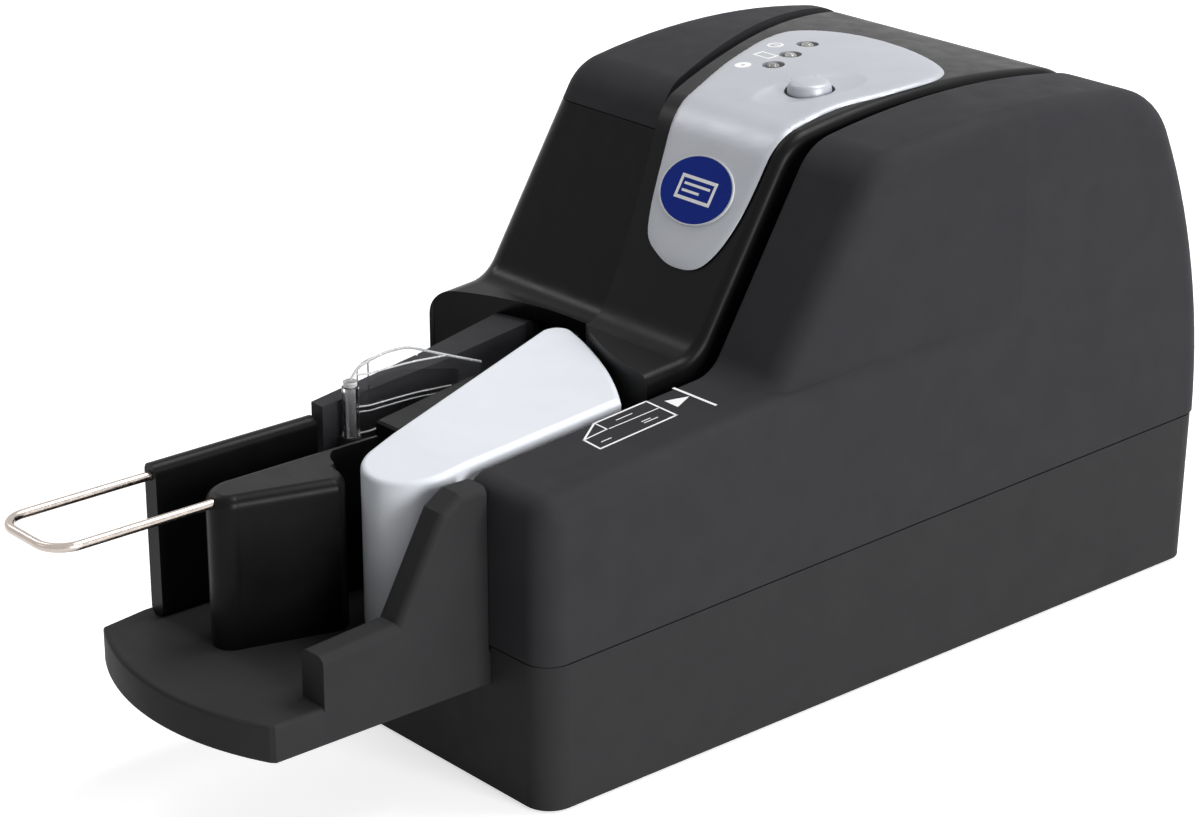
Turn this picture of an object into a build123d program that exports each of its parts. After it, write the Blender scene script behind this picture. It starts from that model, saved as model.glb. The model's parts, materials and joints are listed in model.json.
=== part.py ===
from build123d import *
import os
from math import atan2, cos, degrees, radians, sin, tan

os.makedirs("parts", exist_ok=True)

# ---------------------------------------------------------------------------
# Driving dimensions, in millimetres.  +X is the right side, +Y the back, +Z up.
# The origin is the bottom centre of the whole object, wire loop included.
# ---------------------------------------------------------------------------
BODY_W = 130.0              # across both covers
BODY_L = 240.5              # cover front to cover back
LOOP_REACH = 93.2           # covers' front to the far end of the wire loop

FRONT_Y = LOOP_REACH - (BODY_L + LOOP_REACH) / 2
BACK_Y = FRONT_Y + BODY_L
RIGHT_X = BODY_W / 2
LEFT_X = -RIGHT_X

WALL = 2.5                  # moulded wall
FIT = 0.3                   # gap between parts that come apart
RUN = 0.05                  # radial clearance of a running shaft

# floor, split line and deck
FOOT_H = 0.8                # rubber foot below the base
FLOOR_Z = FOOT_H
SEAM_FRONT_Z = 39.2         # split line between base and covers, at the front
SEAM_BACK_Z = 44.5          # and at the back
SEAM_GAP = 0.45
DECK_TOP_Z = 38.8           # documents run on this face
DECK_T = 3.0
DECK_Z = DECK_TOP_Z - DECK_T
BASE_DRAFT = 1.0            # degrees, base walls lean in towards the floor
CORNER_R = 8.0              # upright corners of the base

# covers, in side view
LEDGE_Z = 81.2              # ledge height at the front face
LEDGE_RISE = 0.083          # rise of the ledge per millimetre to the back
VALLEY_Y = FRONT_Y + 78.5   # right cover, where ledge meets slope
SLOPE_DEG = 58.5
KNEE_Z = 141.0
CROWN_Y = FRONT_Y + 152.0
CROWN_Z = 145.7
SHOULDER_Y = BACK_Y - 25.0
SHOULDER_Z = 140.6
REAR_MID_Y = BACK_Y - 7.7
REAR_MID_Z = 100.0
VALLEY_R = 10.0
KNEE_R = 15.0
NOSE_R = 6.0
SHOULDER_R = 24.0
EDGE_R = 7.0                # soft outer edges
SIDE_TUCK = 5.0             # upper side stands in from the ledge side at the slope
TUCK_END_Y = FRONT_Y + 162.0
LIP_H = 7.0                 # turned-down edge along a slot

# plan of the document track
COVER_IN_X = RIGHT_X - 29.0     # right cover's inner edge
SLOT = 3.6                      # right track slot
CORE_X = COVER_IN_X - SLOT      # right wall of the centre housing
GROOVE = 4.6                    # left track groove
CORE_FRONT_Y = FRONT_Y + 60.0
CORE_VALLEY_Y = VALLEY_Y - 1.0
CORE_LIFT = 3.4                 # centre foot stands above the ledge line
LEFT_VALLEY_Y = VALLEY_Y + 6.7
LEFT_LIFT = -1.0


def seam_z(y):
    """Height of the split line at a place along the body."""
    return SEAM_FRONT_Z + (SEAM_BACK_Z - SEAM_FRONT_Z) * (y - FRONT_Y) / BODY_L


def ledge_z(y, lift=0.0):
    """Height of the sloping ledge at a place along the body."""
    return LEDGE_Z + LEDGE_RISE * (y - FRONT_Y) + lift


def cover_section(front_y, valley_y, lift=0.0, inset=0.0):
    """Side view of a cover in (y, z): ledge, slope, crown and rounded back."""
    run = (KNEE_Z - ledge_z(valley_y, lift)) / tan(radians(SLOPE_DEG))
    knee = (valley_y + run, KNEE_Z)
    valley = (valley_y, ledge_z(valley_y, lift))
    front_top = (front_y, ledge_z(front_y, lift))
    shoulder = (SHOULDER_Y, SHOULDER_Z)
    rear_foot = (BACK_Y, SEAM_BACK_Z)
    bottom_z = FLOOR_Z
    with BuildSketch() as section:
        with BuildLine():
            ThreePointArc(knee, (CROWN_Y, CROWN_Z), shoulder)
            ThreePointArc(shoulder, (REAR_MID_Y, REAR_MID_Z), rear_foot)
            Polyline(rear_foot, (BACK_Y, bottom_z), (front_y, bottom_z), front_top, valley, knee)
        make_face()
        for corner, radius in ((front_top, NOSE_R), (valley, VALLEY_R), (knee, KNEE_R)):
            fillet(section.vertices().sort_by_distance((*corner, 0))[0], radius)
        if inset:
            offset(amount=-inset, kind=Kind.INTERSECTION, mode=Mode.REPLACE)
        fillet(section.vertices().sort_by_distance((*shoulder, 0))[0], SHOULDER_R - inset)
    return section.sketch


def write(part, label):
    """Name a finished piece and write it."""
    part.label = label
    export_step(part, f"parts/{label}.step")


ledge_plane = Plane(origin=(0, FRONT_Y, LEDGE_Z), x_dir=(1, 0, 0), z_dir=(0, -LEDGE_RISE, 1))
SEAM_SLOPE = (SEAM_BACK_Z - SEAM_FRONT_Z) / BODY_L
seam_plane = Plane(origin=(0, FRONT_Y, SEAM_FRONT_Z), x_dir=(1, 0, 0), z_dir=(0, -SEAM_SLOPE, 1))

# ---------------------------------------------------------------------------
# right cover
# ---------------------------------------------------------------------------
tuck_deg = degrees(atan2(SIDE_TUCK, TUCK_END_Y - VALLEY_Y))


def right_block(inset):
    """Outer form of the right cover, drawn in by the inset."""
    section = cover_section(FRONT_Y, VALLEY_Y, inset=inset)
    edge_r = EDGE_R - inset
    side_x = RIGHT_X - inset
    with BuildPart() as low:
        with BuildSketch(Plane.YZ.offset(COVER_IN_X)):
            add(section)
        extrude(amount=side_x - COVER_IN_X)
        split(bisect_by=ledge_plane.offset(-inset), keep=Keep.BOTTOM)
        split(bisect_by=Plane.XZ.offset(-TUCK_END_Y - 12), keep=Keep.TOP)
        side = low.faces().sort_by(Axis.X)[-1]
        rim = side.edges().filter_by(lambda e: e.center().Z > SEAM_BACK_Z)
        fillet(rim.sort_by(Axis.Y)[:-1], edge_r)
    tuck = Plane(origin=(side_x - SIDE_TUCK, VALLEY_Y, 0), x_dir=(0, 0, 1),
                 z_dir=(cos(radians(tuck_deg)), -sin(radians(tuck_deg)), 0))
    with BuildPart() as high:
        with BuildSketch(Plane.YZ.offset(COVER_IN_X)):
            add(section)
        extrude(amount=side_x - COVER_IN_X)
        split(bisect_by=tuck, keep=Keep.BOTTOM)
        split(bisect_by=Plane.XZ.offset(-VALLEY_Y + 9), keep=Keep.BOTTOM)
        sides = high.faces().filter_by(lambda f: abs(f.normal_at().X) > 0.9).sort_by(Axis.X)[-2:]
        rim = sides.edges().filter_by(lambda e: e.center().Z > SEAM_BACK_Z
                                      and abs(e.tangent_at(0.5).Z) < 0.9999)
        fillet(rim, edge_r)
    with BuildPart() as block:
        add(low.part)
        add(high.part)
    return block.part


HINGE_X = COVER_IN_X + 5.0      # right cover turns about an upright pin
HINGE_Y = BACK_Y - 6.0
LEFT_HINGE_X = LEFT_X + 5.0
HINGE_PIN_R = 1.5
KNUCKLE_R = 3.2
KNUCKLE_H = 6.0
KNUCKLE_Z = (49.0, 60.0)        # undersides of the two knuckles
HINGE_TOP_Z = KNUCKLE_Z[1] + KNUCKLE_H + 2.0
NOTCH_L = 20.0                  # cut-out beside a hinge, ahead of the pin

with BuildPart() as hinge_notches:
    for x_from, x_to in ((COVER_IN_X - 1, COVER_IN_X + WALL + 0.5), (LEFT_X + WALL, LEFT_X + 15)):
        with Locations((x_from, HINGE_Y - NOTCH_L, 0)):
            Box(x_to - x_from, NOTCH_L + KNUCKLE_R, HINGE_TOP_Z + 1, align=(Align.MIN, Align.MIN, Align.MIN))

with BuildPart() as right_lip_void:
    with BuildSketch(Plane.YZ.offset(COVER_IN_X - 1)):
        add(cover_section(FRONT_Y, VALLEY_Y, inset=LIP_H))
    extrude(amount=WALL + 2)

with BuildPart() as right_void:
    add(right_block(WALL))
    split(bisect_by=Plane.YZ.offset(COVER_IN_X + WALL), keep=Keep.TOP)

with BuildPart() as right_cover:
    add(right_block(0))
    inner_post = right_cover.edges().filter_by(Axis.Z).filter_by(
        lambda e: abs(e.center().X - COVER_IN_X) < 0.1 and abs(e.center().Y - FRONT_Y) < 0.1)
    fillet(inner_post, 2.0)
    add(right_void.part, mode=Mode.SUBTRACT)
    add(right_lip_void.part, mode=Mode.SUBTRACT)
    split(bisect_by=seam_plane.offset(SEAM_GAP), keep=Keep.TOP)
    add(hinge_notches.part, mode=Mode.SUBTRACT)
    for knuckle_z in KNUCKLE_Z:
        with Locations((HINGE_X, HINGE_Y, knuckle_z)):
            Cylinder(KNUCKLE_R, KNUCKLE_H, align=(Align.CENTER, Align.CENTER, Align.MIN))
        with Locations((HINGE_X, HINGE_Y, knuckle_z)):
            Box(RIGHT_X - WALL / 2 - HINGE_X, WALL, KNUCKLE_H, align=(Align.MIN, Align.CENTER, Align.MIN))
        with Locations((HINGE_X, HINGE_Y, knuckle_z)):
            Cylinder(HINGE_PIN_R + RUN, KNUCKLE_H, align=(Align.CENTER, Align.CENTER, Align.MIN),
                     mode=Mode.SUBTRACT)
write(right_cover.part, "right_cover")

# ---------------------------------------------------------------------------
# left cover, with its inset glossy front panel and the pocket's rear side wall
# ---------------------------------------------------------------------------
GROOVE_PTS = ((-4.5, FRONT_Y + 72.7), (-5.6, FRONT_Y + 83.0), (-14.4, FRONT_Y + 106.7),
              (-27.6, FRONT_Y + 140.6), (LEFT_X + 24, BACK_Y - 64.5), (LEFT_X + 15, BACK_Y - 31.5),
              (LEFT_X + 13, BACK_Y))
LEFT_FRONT_Y = FRONT_Y + 67.0
SCOOP_MID = (-40.0, LEFT_FRONT_Y + 14.5)
SCOOP_END = (-20.0, LEFT_FRONT_Y + 13.0)
PANEL_T = 2.0
PANEL_TOP_Z = 131.5
PANEL_RIM = 2.3                 # outer rim left of the panel
PANEL_GAP = 0.2
MOUTH_TOP_Z = 83.0              # documents leave below this edge


def groove_line(shift=0.0):
    """Edge of the left groove, moved along X."""
    return Spline([(x + shift, y) for x, y in GROOVE_PTS])


def left_plan(inset, right_shift):
    """Plan of the left cover: side, scooped front, slanted groove edge, back."""
    with BuildSketch() as plan:
        with BuildLine():
            edge = groove_line(right_shift)
            far_y = FRONT_Y
            Polyline(edge @ 1, (LEFT_X + inset, BACK_Y), (LEFT_X + inset, far_y),
                     ((edge @ 0).X, far_y), edge @ 0)
        make_face()
        with BuildLine():
            scoop = ThreePointArc((LEFT_X - 1, LEFT_FRONT_Y + inset - 0.6),
                                  (SCOOP_MID[0] + inset * 0.4, SCOOP_MID[1] - 4 + inset * 0.9),
                                  (SCOOP_END[0], SCOOP_END[1] + inset))
            Polyline(scoop @ 1, (RIGHT_X, SCOOP_END[1] + inset), (RIGHT_X, FRONT_Y - 1),
                     (LEFT_X - 1, FRONT_Y - 1), scoop @ 0)
        make_face(mode=Mode.SUBTRACT)
    return plan.sketch


def left_block(inset, right_shift):
    """Outer form of the left cover, drawn in by the inset."""
    with BuildPart() as block:
        with BuildSketch(Plane.YZ.offset(LEFT_X + inset)):
            add(cover_section(LEFT_FRONT_Y - 3, LEFT_VALLEY_Y, lift=LEFT_LIFT, inset=inset))
        extrude(amount=-LEFT_X)
        side = block.faces().sort_by(Axis.X)[0]
        fillet(side.edges().filter_by(lambda e: e.center().Z > SEAM_BACK_Z
                                      and e.center().Y > LEFT_FRONT_Y + 1), EDGE_R + 1 - inset)
        with BuildSketch():
            add(left_plan(inset, right_shift))
        extrude(amount=CROWN_Z + 10, mode=Mode.INTERSECT)
    return block.part


POCKET_WALL_Z = 82.0            # top of the pocket's outer walls
POCKET_INNER = ((-19.9, FRONT_Y - 0.5), (-26.7, FRONT_Y + 45.5), (-34.8, LEFT_FRONT_Y + 15))
POCKET_OUTER = ((-46.0, LEFT_FRONT_Y + 12), (-35.7, FRONT_Y + 45.4), (-24.6, FRONT_Y - 0.5))
PANEL_BACK_Y = LEFT_VALLEY_Y + 34.0
FLAP_T = 0.8
FLAP_PIN_R = 1.3
FLAP_HEAD_R = 1.8
FLAP_BOSS_R = 2.5
FLAP_AT = (-18.2, FRONT_Y + 7.0)
FLAP_LOW_Z = 73.0
FLAP_TOP_Z = 92.2
FLAP_BOSS_TOP_Z = 86.0
FLAP_LUG_H = 3.0
FLAP_GAP = 0.3                  # under and over the flap's boss
LEFT_BACKING = 2.0              # cover wall left behind the panel

with BuildPart() as panel_window:
    with BuildSketch(Plane.XZ.offset(-FRONT_Y)) as window_face:
        with Locations((LEFT_X + PANEL_RIM, PANEL_TOP_Z)):
            Rectangle(-LEFT_X, PANEL_TOP_Z, align=(Align.MIN, Align.MAX))
        fillet(window_face.vertices().sort_by_distance((LEFT_X, FRONT_Y, PANEL_TOP_Z))[0], 5)
    extrude(amount=-(PANEL_BACK_Y - FRONT_Y))

with BuildPart() as panel_edge:
    with BuildSketch(Plane.XZ.offset(-FRONT_Y)) as edge_face:
        with Locations((LEFT_X + PANEL_RIM + PANEL_GAP, PANEL_TOP_Z - PANEL_GAP)):
            Rectangle(-LEFT_X, PANEL_TOP_Z, align=(Align.MIN, Align.MAX))
        fillet(edge_face.vertices().sort_by_distance((LEFT_X, FRONT_Y, PANEL_TOP_Z))[0], 5)
    extrude(amount=-(PANEL_BACK_Y - FRONT_Y))

with BuildPart() as left_lip_void:
    with BuildSketch(Plane.YZ.offset(LEFT_X)):
        add(cover_section(LEFT_FRONT_Y - 3, LEFT_VALLEY_Y, lift=LEFT_LIFT, inset=LIP_H))
    extrude(amount=-LEFT_X)
    with BuildSketch():
        add(left_plan(LIP_H, 1 - GROOVE))
    extrude(amount=CROWN_Z, mode=Mode.INTERSECT)

mouth_y = SCOOP_END[1] + WALL + PANEL_T + 3
with BuildPart() as mouth:
    with BuildSketch(Plane.XZ.offset(-SCOOP_END[1] + 3)):
        with Locations((POCKET_INNER[2][0] + 0.4, 0)):
            Rectangle(-POCKET_INNER[2][0], MOUTH_TOP_Z, align=(Align.MIN, Align.MIN))
    extrude(amount=-(mouth_y - SCOOP_END[1] + 3))

with BuildPart() as left_shell:
    add(left_block(0, -GROOVE))

with BuildPart() as rear_void:
    add(left_block(WALL, -GROOVE - WALL))
    split(bisect_by=Plane.XZ.offset(-PANEL_BACK_Y), keep=Keep.BOTTOM)

with BuildPart() as panel_recess:
    add(left_shell.part)
    add(left_block(PANEL_T + PANEL_GAP, -GROOVE - PANEL_T - PANEL_GAP), mode=Mode.SUBTRACT)
    add(panel_window.part, mode=Mode.INTERSECT)

with BuildPart() as left_cover:
    add(left_shell.part)
    add(rear_void.part, mode=Mode.SUBTRACT)
    backing = PANEL_T + PANEL_GAP + LEFT_BACKING
    add(left_block(backing, -GROOVE - WALL), mode=Mode.SUBTRACT)
    add(left_lip_void.part, mode=Mode.SUBTRACT)
    add(panel_recess.part, mode=Mode.SUBTRACT)
    with BuildSketch(Plane.XY.offset(SEAM_FRONT_Z - 2)):
        with BuildLine():
            Polyline(*POCKET_INNER, *POCKET_OUTER, POCKET_INNER[0])
        make_face()
    extrude(amount=POCKET_WALL_Z - SEAM_FRONT_Z + 2)
    add(mouth.part, mode=Mode.SUBTRACT)
    split(bisect_by=seam_plane.offset(SEAM_GAP), keep=Keep.TOP)
    add(hinge_notches.part, mode=Mode.SUBTRACT)
    for knuckle_z in KNUCKLE_Z:
        with Locations((LEFT_HINGE_X, HINGE_Y, knuckle_z)):
            Cylinder(KNUCKLE_R, KNUCKLE_H, align=(Align.CENTER, Align.CENTER, Align.MIN))
            Cylinder(HINGE_PIN_R + RUN, KNUCKLE_H, align=(Align.CENTER, Align.CENTER, Align.MIN),
                     mode=Mode.SUBTRACT)
    with Locations((*FLAP_AT, FLAP_LOW_Z - FLAP_LUG_H - FLAP_GAP)):
        Cylinder(FLAP_BOSS_R, FLAP_LUG_H, align=(Align.CENTER, Align.CENTER, Align.MIN))
        Box(4, 2 * FLAP_BOSS_R, FLAP_LUG_H, align=(Align.MAX, Align.CENTER, Align.MIN))
        Cylinder(FLAP_PIN_R, FLAP_LUG_H, align=(Align.CENTER, Align.CENTER, Align.MIN), mode=Mode.SUBTRACT)
write(left_cover.part, "left_cover")

with BuildPart() as left_front_panel:
    add(left_shell.part)
    add(left_block(PANEL_T, -GROOVE - PANEL_T), mode=Mode.SUBTRACT)
    add(left_lip_void.part, mode=Mode.SUBTRACT)
    add(panel_edge.part, mode=Mode.INTERSECT)
    with BuildSketch(Plane.XY):
        with BuildLine():
            Polyline(*POCKET_INNER, *POCKET_OUTER, POCKET_INNER[0])
        make_face()
    extrude(amount=POCKET_WALL_Z + PANEL_GAP, mode=Mode.SUBTRACT)
    add(mouth.part, mode=Mode.SUBTRACT)
    split(bisect_by=seam_plane.offset(SEAM_GAP + PANEL_GAP), keep=Keep.TOP)
write(left_front_panel.part, "left_front_panel")

# ---------------------------------------------------------------------------
# centre housing, control panel, badge, lenses and button
# ---------------------------------------------------------------------------
CORE_BOW = (CORE_X - 17.4, CORE_FRONT_Y + 4.4)      # middle of the bowed front
TRACK_TOP_Z = 128.0             # tops of the curved guides at the back
GUIDE_TOP_Z = 75.0              # tops of the low guides
TURN_Y = BACK_Y - 73.5        # centre of the U-turn
LOW_END_Y = FRONT_Y + 131.0     # tall guides start behind this
PLATE_T = 0.9


def core_plan(inset):
    """Plan of the centre housing."""
    with BuildSketch() as plan:
        with BuildLine():
            edge = groove_line(inset)
            side = Polyline(edge @ 1, (CORE_X - inset, BACK_Y), (CORE_X - inset, CORE_FRONT_Y + 1 + inset))
            ThreePointArc(side @ 1, (CORE_BOW[0], CORE_BOW[1] + inset), edge @ 0)
        make_face()
    return plan.sketch


def core_block(inset, plan_inset):
    """Outer form of the centre housing, drawn in by the insets."""
    with BuildPart() as block:
        with BuildSketch(Plane.YZ.offset(LEFT_X)):
            add(cover_section(CORE_FRONT_Y - 12, CORE_VALLEY_Y, lift=CORE_LIFT, inset=inset))
        extrude(amount=RIGHT_X - LEFT_X)
        with BuildSketch():
            add(core_plan(plan_inset))
        extrude(amount=CROWN_Z + 10, mode=Mode.INTERSECT)
    return block.part


# rollers of the document track
TRACK_GAP = 0.2                 # document gap at a roller pair
DRIVE_R = 11.0                  # rubber drive tyres
SHAFT_R = 2.5
HUB_R = 6.0
PINCH_R = 6.0
SEP_R = 9.0
TRACK_X = (COVER_IN_X + CORE_X) / 2
TURN_R = TRACK_X + 3.0          # radius of the document path round the turn
TURN_X = TRACK_X - TURN_R
EXIT_DEG = 10.0                 # exit path leans from -Y towards +X
DRIVE_X = TRACK_X + TRACK_GAP / 2 + DRIVE_R
PICK_Y = FRONT_Y + 43.0
FEED_Y = FRONT_Y + 75.0
RUN_Y = FRONT_Y + 116.0
EXIT_Y = FRONT_Y + 103.0


def exit_point(y, out):
    """Place beside the exit path, the distance out away from the turn's middle."""
    lean = radians(EXIT_DEG)
    x_start = TURN_X - TURN_R * cos(lean)
    y_start = TURN_Y - TURN_R * sin(lean)
    x_path = x_start + (y_start - y) * tan(lean)
    return (x_path - out * cos(lean), y - out * sin(lean))


EXIT_AT = exit_point(EXIT_Y, TRACK_GAP / 2 + DRIVE_R)
EXIT_PINCH_AT = exit_point(EXIT_Y, -TRACK_GAP / 2 - PINCH_R)
PICK_AT = (DRIVE_X, PICK_Y)
FEED_AT = (DRIVE_X, FEED_Y)
RUN_AT = (DRIVE_X, RUN_Y)
REAR_AT = (TURN_X, TURN_Y + TURN_R + TRACK_GAP / 2 + DRIVE_R)
SEP_AT = (TRACK_X - TRACK_GAP / 2 - SEP_R, FEED_Y)
RUN_PINCH_AT = (TRACK_X - TRACK_GAP / 2 - PINCH_R, RUN_Y)
MOTOR_AT = (TURN_X - 36.0, TURN_Y + 24.0)
DRIVES = {"pick": PICK_AT, "feed": FEED_AT, "run": RUN_AT, "rear": REAR_AT, "exit": EXIT_AT}
TYRE_Z = (DECK_TOP_Z + 5.5, DECK_TOP_Z + 22.5)
TYRE_H = 9.0
SHAFT_TOP_Z = TYRE_Z[1] + TYRE_H + 2.0
PULLEY_R = 7.0
BELT_W = 4.0
BELT_T = 1.0
PULLEY_FLANGE = 0.8
PULLEY_Z = DECK_Z - 7.0         # underside of every pulley
SHAFT_Z = PULLEY_Z - 1.5
WINDOW_H = SHAFT_TOP_Z - DECK_TOP_Z - 2.5
BUSH_R = 4.0


def roller_windows(places, radius):
    """Upright slots that clear the rollers at the given places."""
    for place in places:
        with Locations((*place, DECK_TOP_Z + 3.0)):
            Cylinder(radius + 0.8, WINDOW_H, align=(Align.CENTER, Align.CENTER, Align.MIN),
                     mode=Mode.SUBTRACT)


# power button and lenses on top of the centre housing
BUTTON_X = 11.5
BUTTON_Y = FRONT_Y + 136.0
BUTTON_R = 6.0
BUTTON_TRAVEL = 1.5
BUTTON_STEM_R = 2.5
BUTTON_STEM_L = 5.0
BUTTON_RISE = 1.8
LED_AT = ((-9.2, FRONT_Y + 142.8), (-12.6, FRONT_Y + 152.4), (-16.9, FRONT_Y + 163.0))
LED_R = 2.0
LENS_Z = CROWN_Z - 0.8
BUTTON_STOP_Z = CROWN_Z - WALL - 2.4    # top of the button's retaining flange
SWITCH_TOP_Z = BUTTON_STOP_Z - BUTTON_STEM_L - BUTTON_TRAVEL - 0.1
SWITCH_H = 3.5
SWITCH_BOSSES = tuple((BUTTON_X + sx * 13, BUTTON_Y + sy * 8) for sx in (-1, 1) for sy in (-1, 1))

cut_end = BACK_Y - 28
with BuildPart() as under_seam:
    with Locations((0, BACK_Y, 0)):
        Box(BODY_W, 2 * (BACK_Y - cut_end), 2 * SEAM_BACK_Z, align=(Align.CENTER, Align.CENTER, Align.MIN))
    split(bisect_by=seam_plane, keep=Keep.BOTTOM)

with BuildPart() as centre_housing:
    add(core_block(0, 0))
    top_edges = centre_housing.edges().filter_by(
        lambda e: e.center().Z > ledge_z(CORE_FRONT_Y) + 2 and e.center().Y > CORE_FRONT_Y + 2
        and abs(e.center().X - CORE_X) < 0.05 and e.center().Y < BACK_Y - 3)
    fillet(top_edges, 3)
    add(core_block(WALL, WALL), mode=Mode.SUBTRACT)
    with Locations((0, LOW_END_Y, 0)):
        Box(BODY_W, cut_end - LOW_END_Y, TRACK_TOP_Z + 5, align=(Align.CENTER, Align.MIN, Align.MIN),
            mode=Mode.SUBTRACT)
    with Locations((0, FRONT_Y, 0)):
        Box(BODY_W, cut_end + 3 - FRONT_Y, DECK_TOP_Z, align=(Align.CENTER, Align.MIN, Align.MIN),
            mode=Mode.SUBTRACT)
    add(under_seam.part, mode=Mode.SUBTRACT)
    roller_windows((SEP_AT,), SEP_R)
    roller_windows((RUN_PINCH_AT,), PINCH_R)
    with Locations((BUTTON_X, BUTTON_Y, CROWN_Z)):
        Cylinder(BUTTON_R + FIT, 12, mode=Mode.SUBTRACT)
    with Locations(*[(*spot, SWITCH_TOP_Z - SWITCH_H) for spot in SWITCH_BOSSES]):
        Cylinder(2.2, CROWN_Z - WALL - SWITCH_TOP_Z + SWITCH_H, align=(Align.CENTER, Align.CENTER, Align.MIN))
    with Locations(*[(*spot, LENS_Z) for spot in LED_AT]):
        Cylinder(LED_R + RUN, 4, align=(Align.CENTER, Align.CENTER, Align.MIN), mode=Mode.SUBTRACT)
write(centre_housing.part, "centre_housing")

PANEL_PTS = ((-31.6, FRONT_Y + 167.7), (-27.5, FRONT_Y + 177.5), (-17, FRONT_Y + 183.6), (-3, FRONT_Y + 184),
             (12.2, FRONT_Y + 179.9), (24.5, FRONT_Y + 173), (29.4, FRONT_Y + 164), (29.8, FRONT_Y + 146),
             (27.2, FRONT_Y + 130), (28.6, FRONT_Y + 110), (28.6, FRONT_Y + 98.6), (26.5, FRONT_Y + 92.4),
             (22, FRONT_Y + 88.3), (14.5, FRONT_Y + 87.1), (6.5, FRONT_Y + 87.9), (-1, FRONT_Y + 90.9),
             (-7.2, FRONT_Y + 103), (-13.5, FRONT_Y + 118.5), (-24, FRONT_Y + 143.5))
BADGE_X = 10.5
BADGE_HALF_W = 13.1
BADGE_HALF_H = 9.4              # half height, up the slope
BADGE_T = 0.6
badge_z = 124.7


def core_skin(outer, inner):
    """Sheet that follows the centre housing's top between two heights over it."""
    with BuildPart() as sheet:
        with BuildSketch(Plane.YZ.offset(LEFT_X)):
            add(cover_section(CORE_FRONT_Y - 12, CORE_VALLEY_Y, lift=CORE_LIFT, inset=-outer))
            if inner:
                add(cover_section(CORE_FRONT_Y - 12, CORE_VALLEY_Y, lift=CORE_LIFT, inset=-inner),
                    mode=Mode.SUBTRACT)
            else:
                add(cover_section(CORE_FRONT_Y - 12, CORE_VALLEY_Y, lift=CORE_LIFT), mode=Mode.SUBTRACT)
        extrude(amount=RIGHT_X - LEFT_X)
    return sheet.part


with BuildPart() as control_panel:
    with BuildSketch(Plane.XY.offset(LEDGE_Z + 15)):
        with BuildLine():
            Spline(*PANEL_PTS, periodic=True)
        make_face()
    extrude(amount=CROWN_Z)
    add(core_skin(PLATE_T, 0), mode=Mode.INTERSECT)
    with Locations((BUTTON_X, BUTTON_Y, CROWN_Z)):
        Cylinder(BUTTON_R + FIT, 10, mode=Mode.SUBTRACT)
    for spot in LED_AT:
        with Locations((*spot, CROWN_Z)):
            Cylinder(LED_R + 0.05, 10, mode=Mode.SUBTRACT)
write(control_panel.part, "control_panel")

slope = radians(SLOPE_DEG)
core_valley = (CORE_VALLEY_Y, ledge_z(CORE_VALLEY_Y, CORE_LIFT))
badge_run = (badge_z - core_valley[1]) / tan(slope)
badge_plane = Plane(origin=(BADGE_X, core_valley[0] + badge_run - PLATE_T * sin(slope),
                            badge_z + PLATE_T * cos(slope)),
                    x_dir=(1, 0, 0), z_dir=(0, -sin(slope), cos(slope)))
with BuildPart() as badge_disc:
    with BuildSketch(badge_plane):
        Ellipse(BADGE_HALF_W, BADGE_HALF_H)
    extrude(amount=BADGE_T)
    chamfer(badge_disc.faces().sort_by(Axis.Z)[-1].edges().sort_by(SortBy.LENGTH)[-1:], 0.2)
write(badge_disc.part, "badge_disc")

with BuildPart() as status_lenses:
    for spot in LED_AT:
        with Locations((*spot, LENS_Z)):
            Cylinder(LED_R, 2.2, align=(Align.CENTER, Align.CENTER, Align.MIN))
    tops = status_lenses.faces().filter_by(Axis.Z).group_by(Axis.Z)[-1]
    fillet(tops.edges(), 0.9)
write(status_lenses.part, "status_lenses")

with BuildPart() as power_button:
    with Locations((BUTTON_X, BUTTON_Y, BUTTON_STOP_Z)):
        Cylinder(BUTTON_R, CROWN_Z + BUTTON_RISE - BUTTON_STOP_Z,
                 align=(Align.CENTER, Align.CENTER, Align.MIN))
    fillet(power_button.faces().sort_by(Axis.Z)[-1].edges(), 1.2)
    with Locations((BUTTON_X, BUTTON_Y, BUTTON_STOP_Z)):
        Cylinder(BUTTON_STEM_R, BUTTON_STEM_L, align=(Align.CENTER, Align.CENTER, Align.MAX))
        Cylinder(BUTTON_R + 1.5, 0.8, align=(Align.CENTER, Align.CENTER, Align.MAX))
write(power_button.part, "power_button")
# ---------------------------------------------------------------------------
# base, deck and front tray
# ---------------------------------------------------------------------------
BASE_IN_X = RIGHT_X - WALL
TRAY_RIGHT_X = RIGHT_X - 20.5
TRAY_LEFT_X = LEFT_X + 36.0
TRAY_REACH = 72.0
TRAY_FRONT_Y = FRONT_Y - TRAY_REACH
TRAY_T = 9.3
TRAY_Z = DECK_TOP_Z - TRAY_T
TONGUE = 9.0
FIN_T = 8.5
FIN_TOP_Z = 80.8
FIN_REACH = 49.0
FIN_TOE_Z = 51.5
FIN_BEND = (FRONT_Y - 27.0, FIN_TOE_Z + 1.5)         # foot of the fin's slope, in (y, z)
FIN_BROW = (FRONT_Y - 13.5, FIN_TOP_Z - 3.5)        # top of the slope
POST_LEFT_X = -6.5
POST_TOP_Z = 78.0
POCKET_T = 4.8
POCKET_TOP_Z = 79.2
POCKET_WALL_L = 48.0
WALL_BACK = 1.8                 # gap between pocket wall and left cover's wall
WIRE_R = 1.15
WIRE_Z = 76.0
WIRE_LEFT_X = -23.0
WIRE_RIGHT_X = 1.2
WIRE_IN = 37.0                  # leg ends, ahead of the covers' front
WIRE_SLIDE = 22.0
WIRE_BEND_R = 7.0
DIVIDER_TOP_Z = 79.0
PUSHER_LIFT = 0.4
PUSHER_TIP_Z = 79.4
PUSHER_EDGE_R = 1.6
PUSHER_X = TRACK_X - 0.7
PUSHER_NOSE_R = 13.0
PUSHER_TAPER = 17.8             # degrees, left face leans in towards the back
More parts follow.
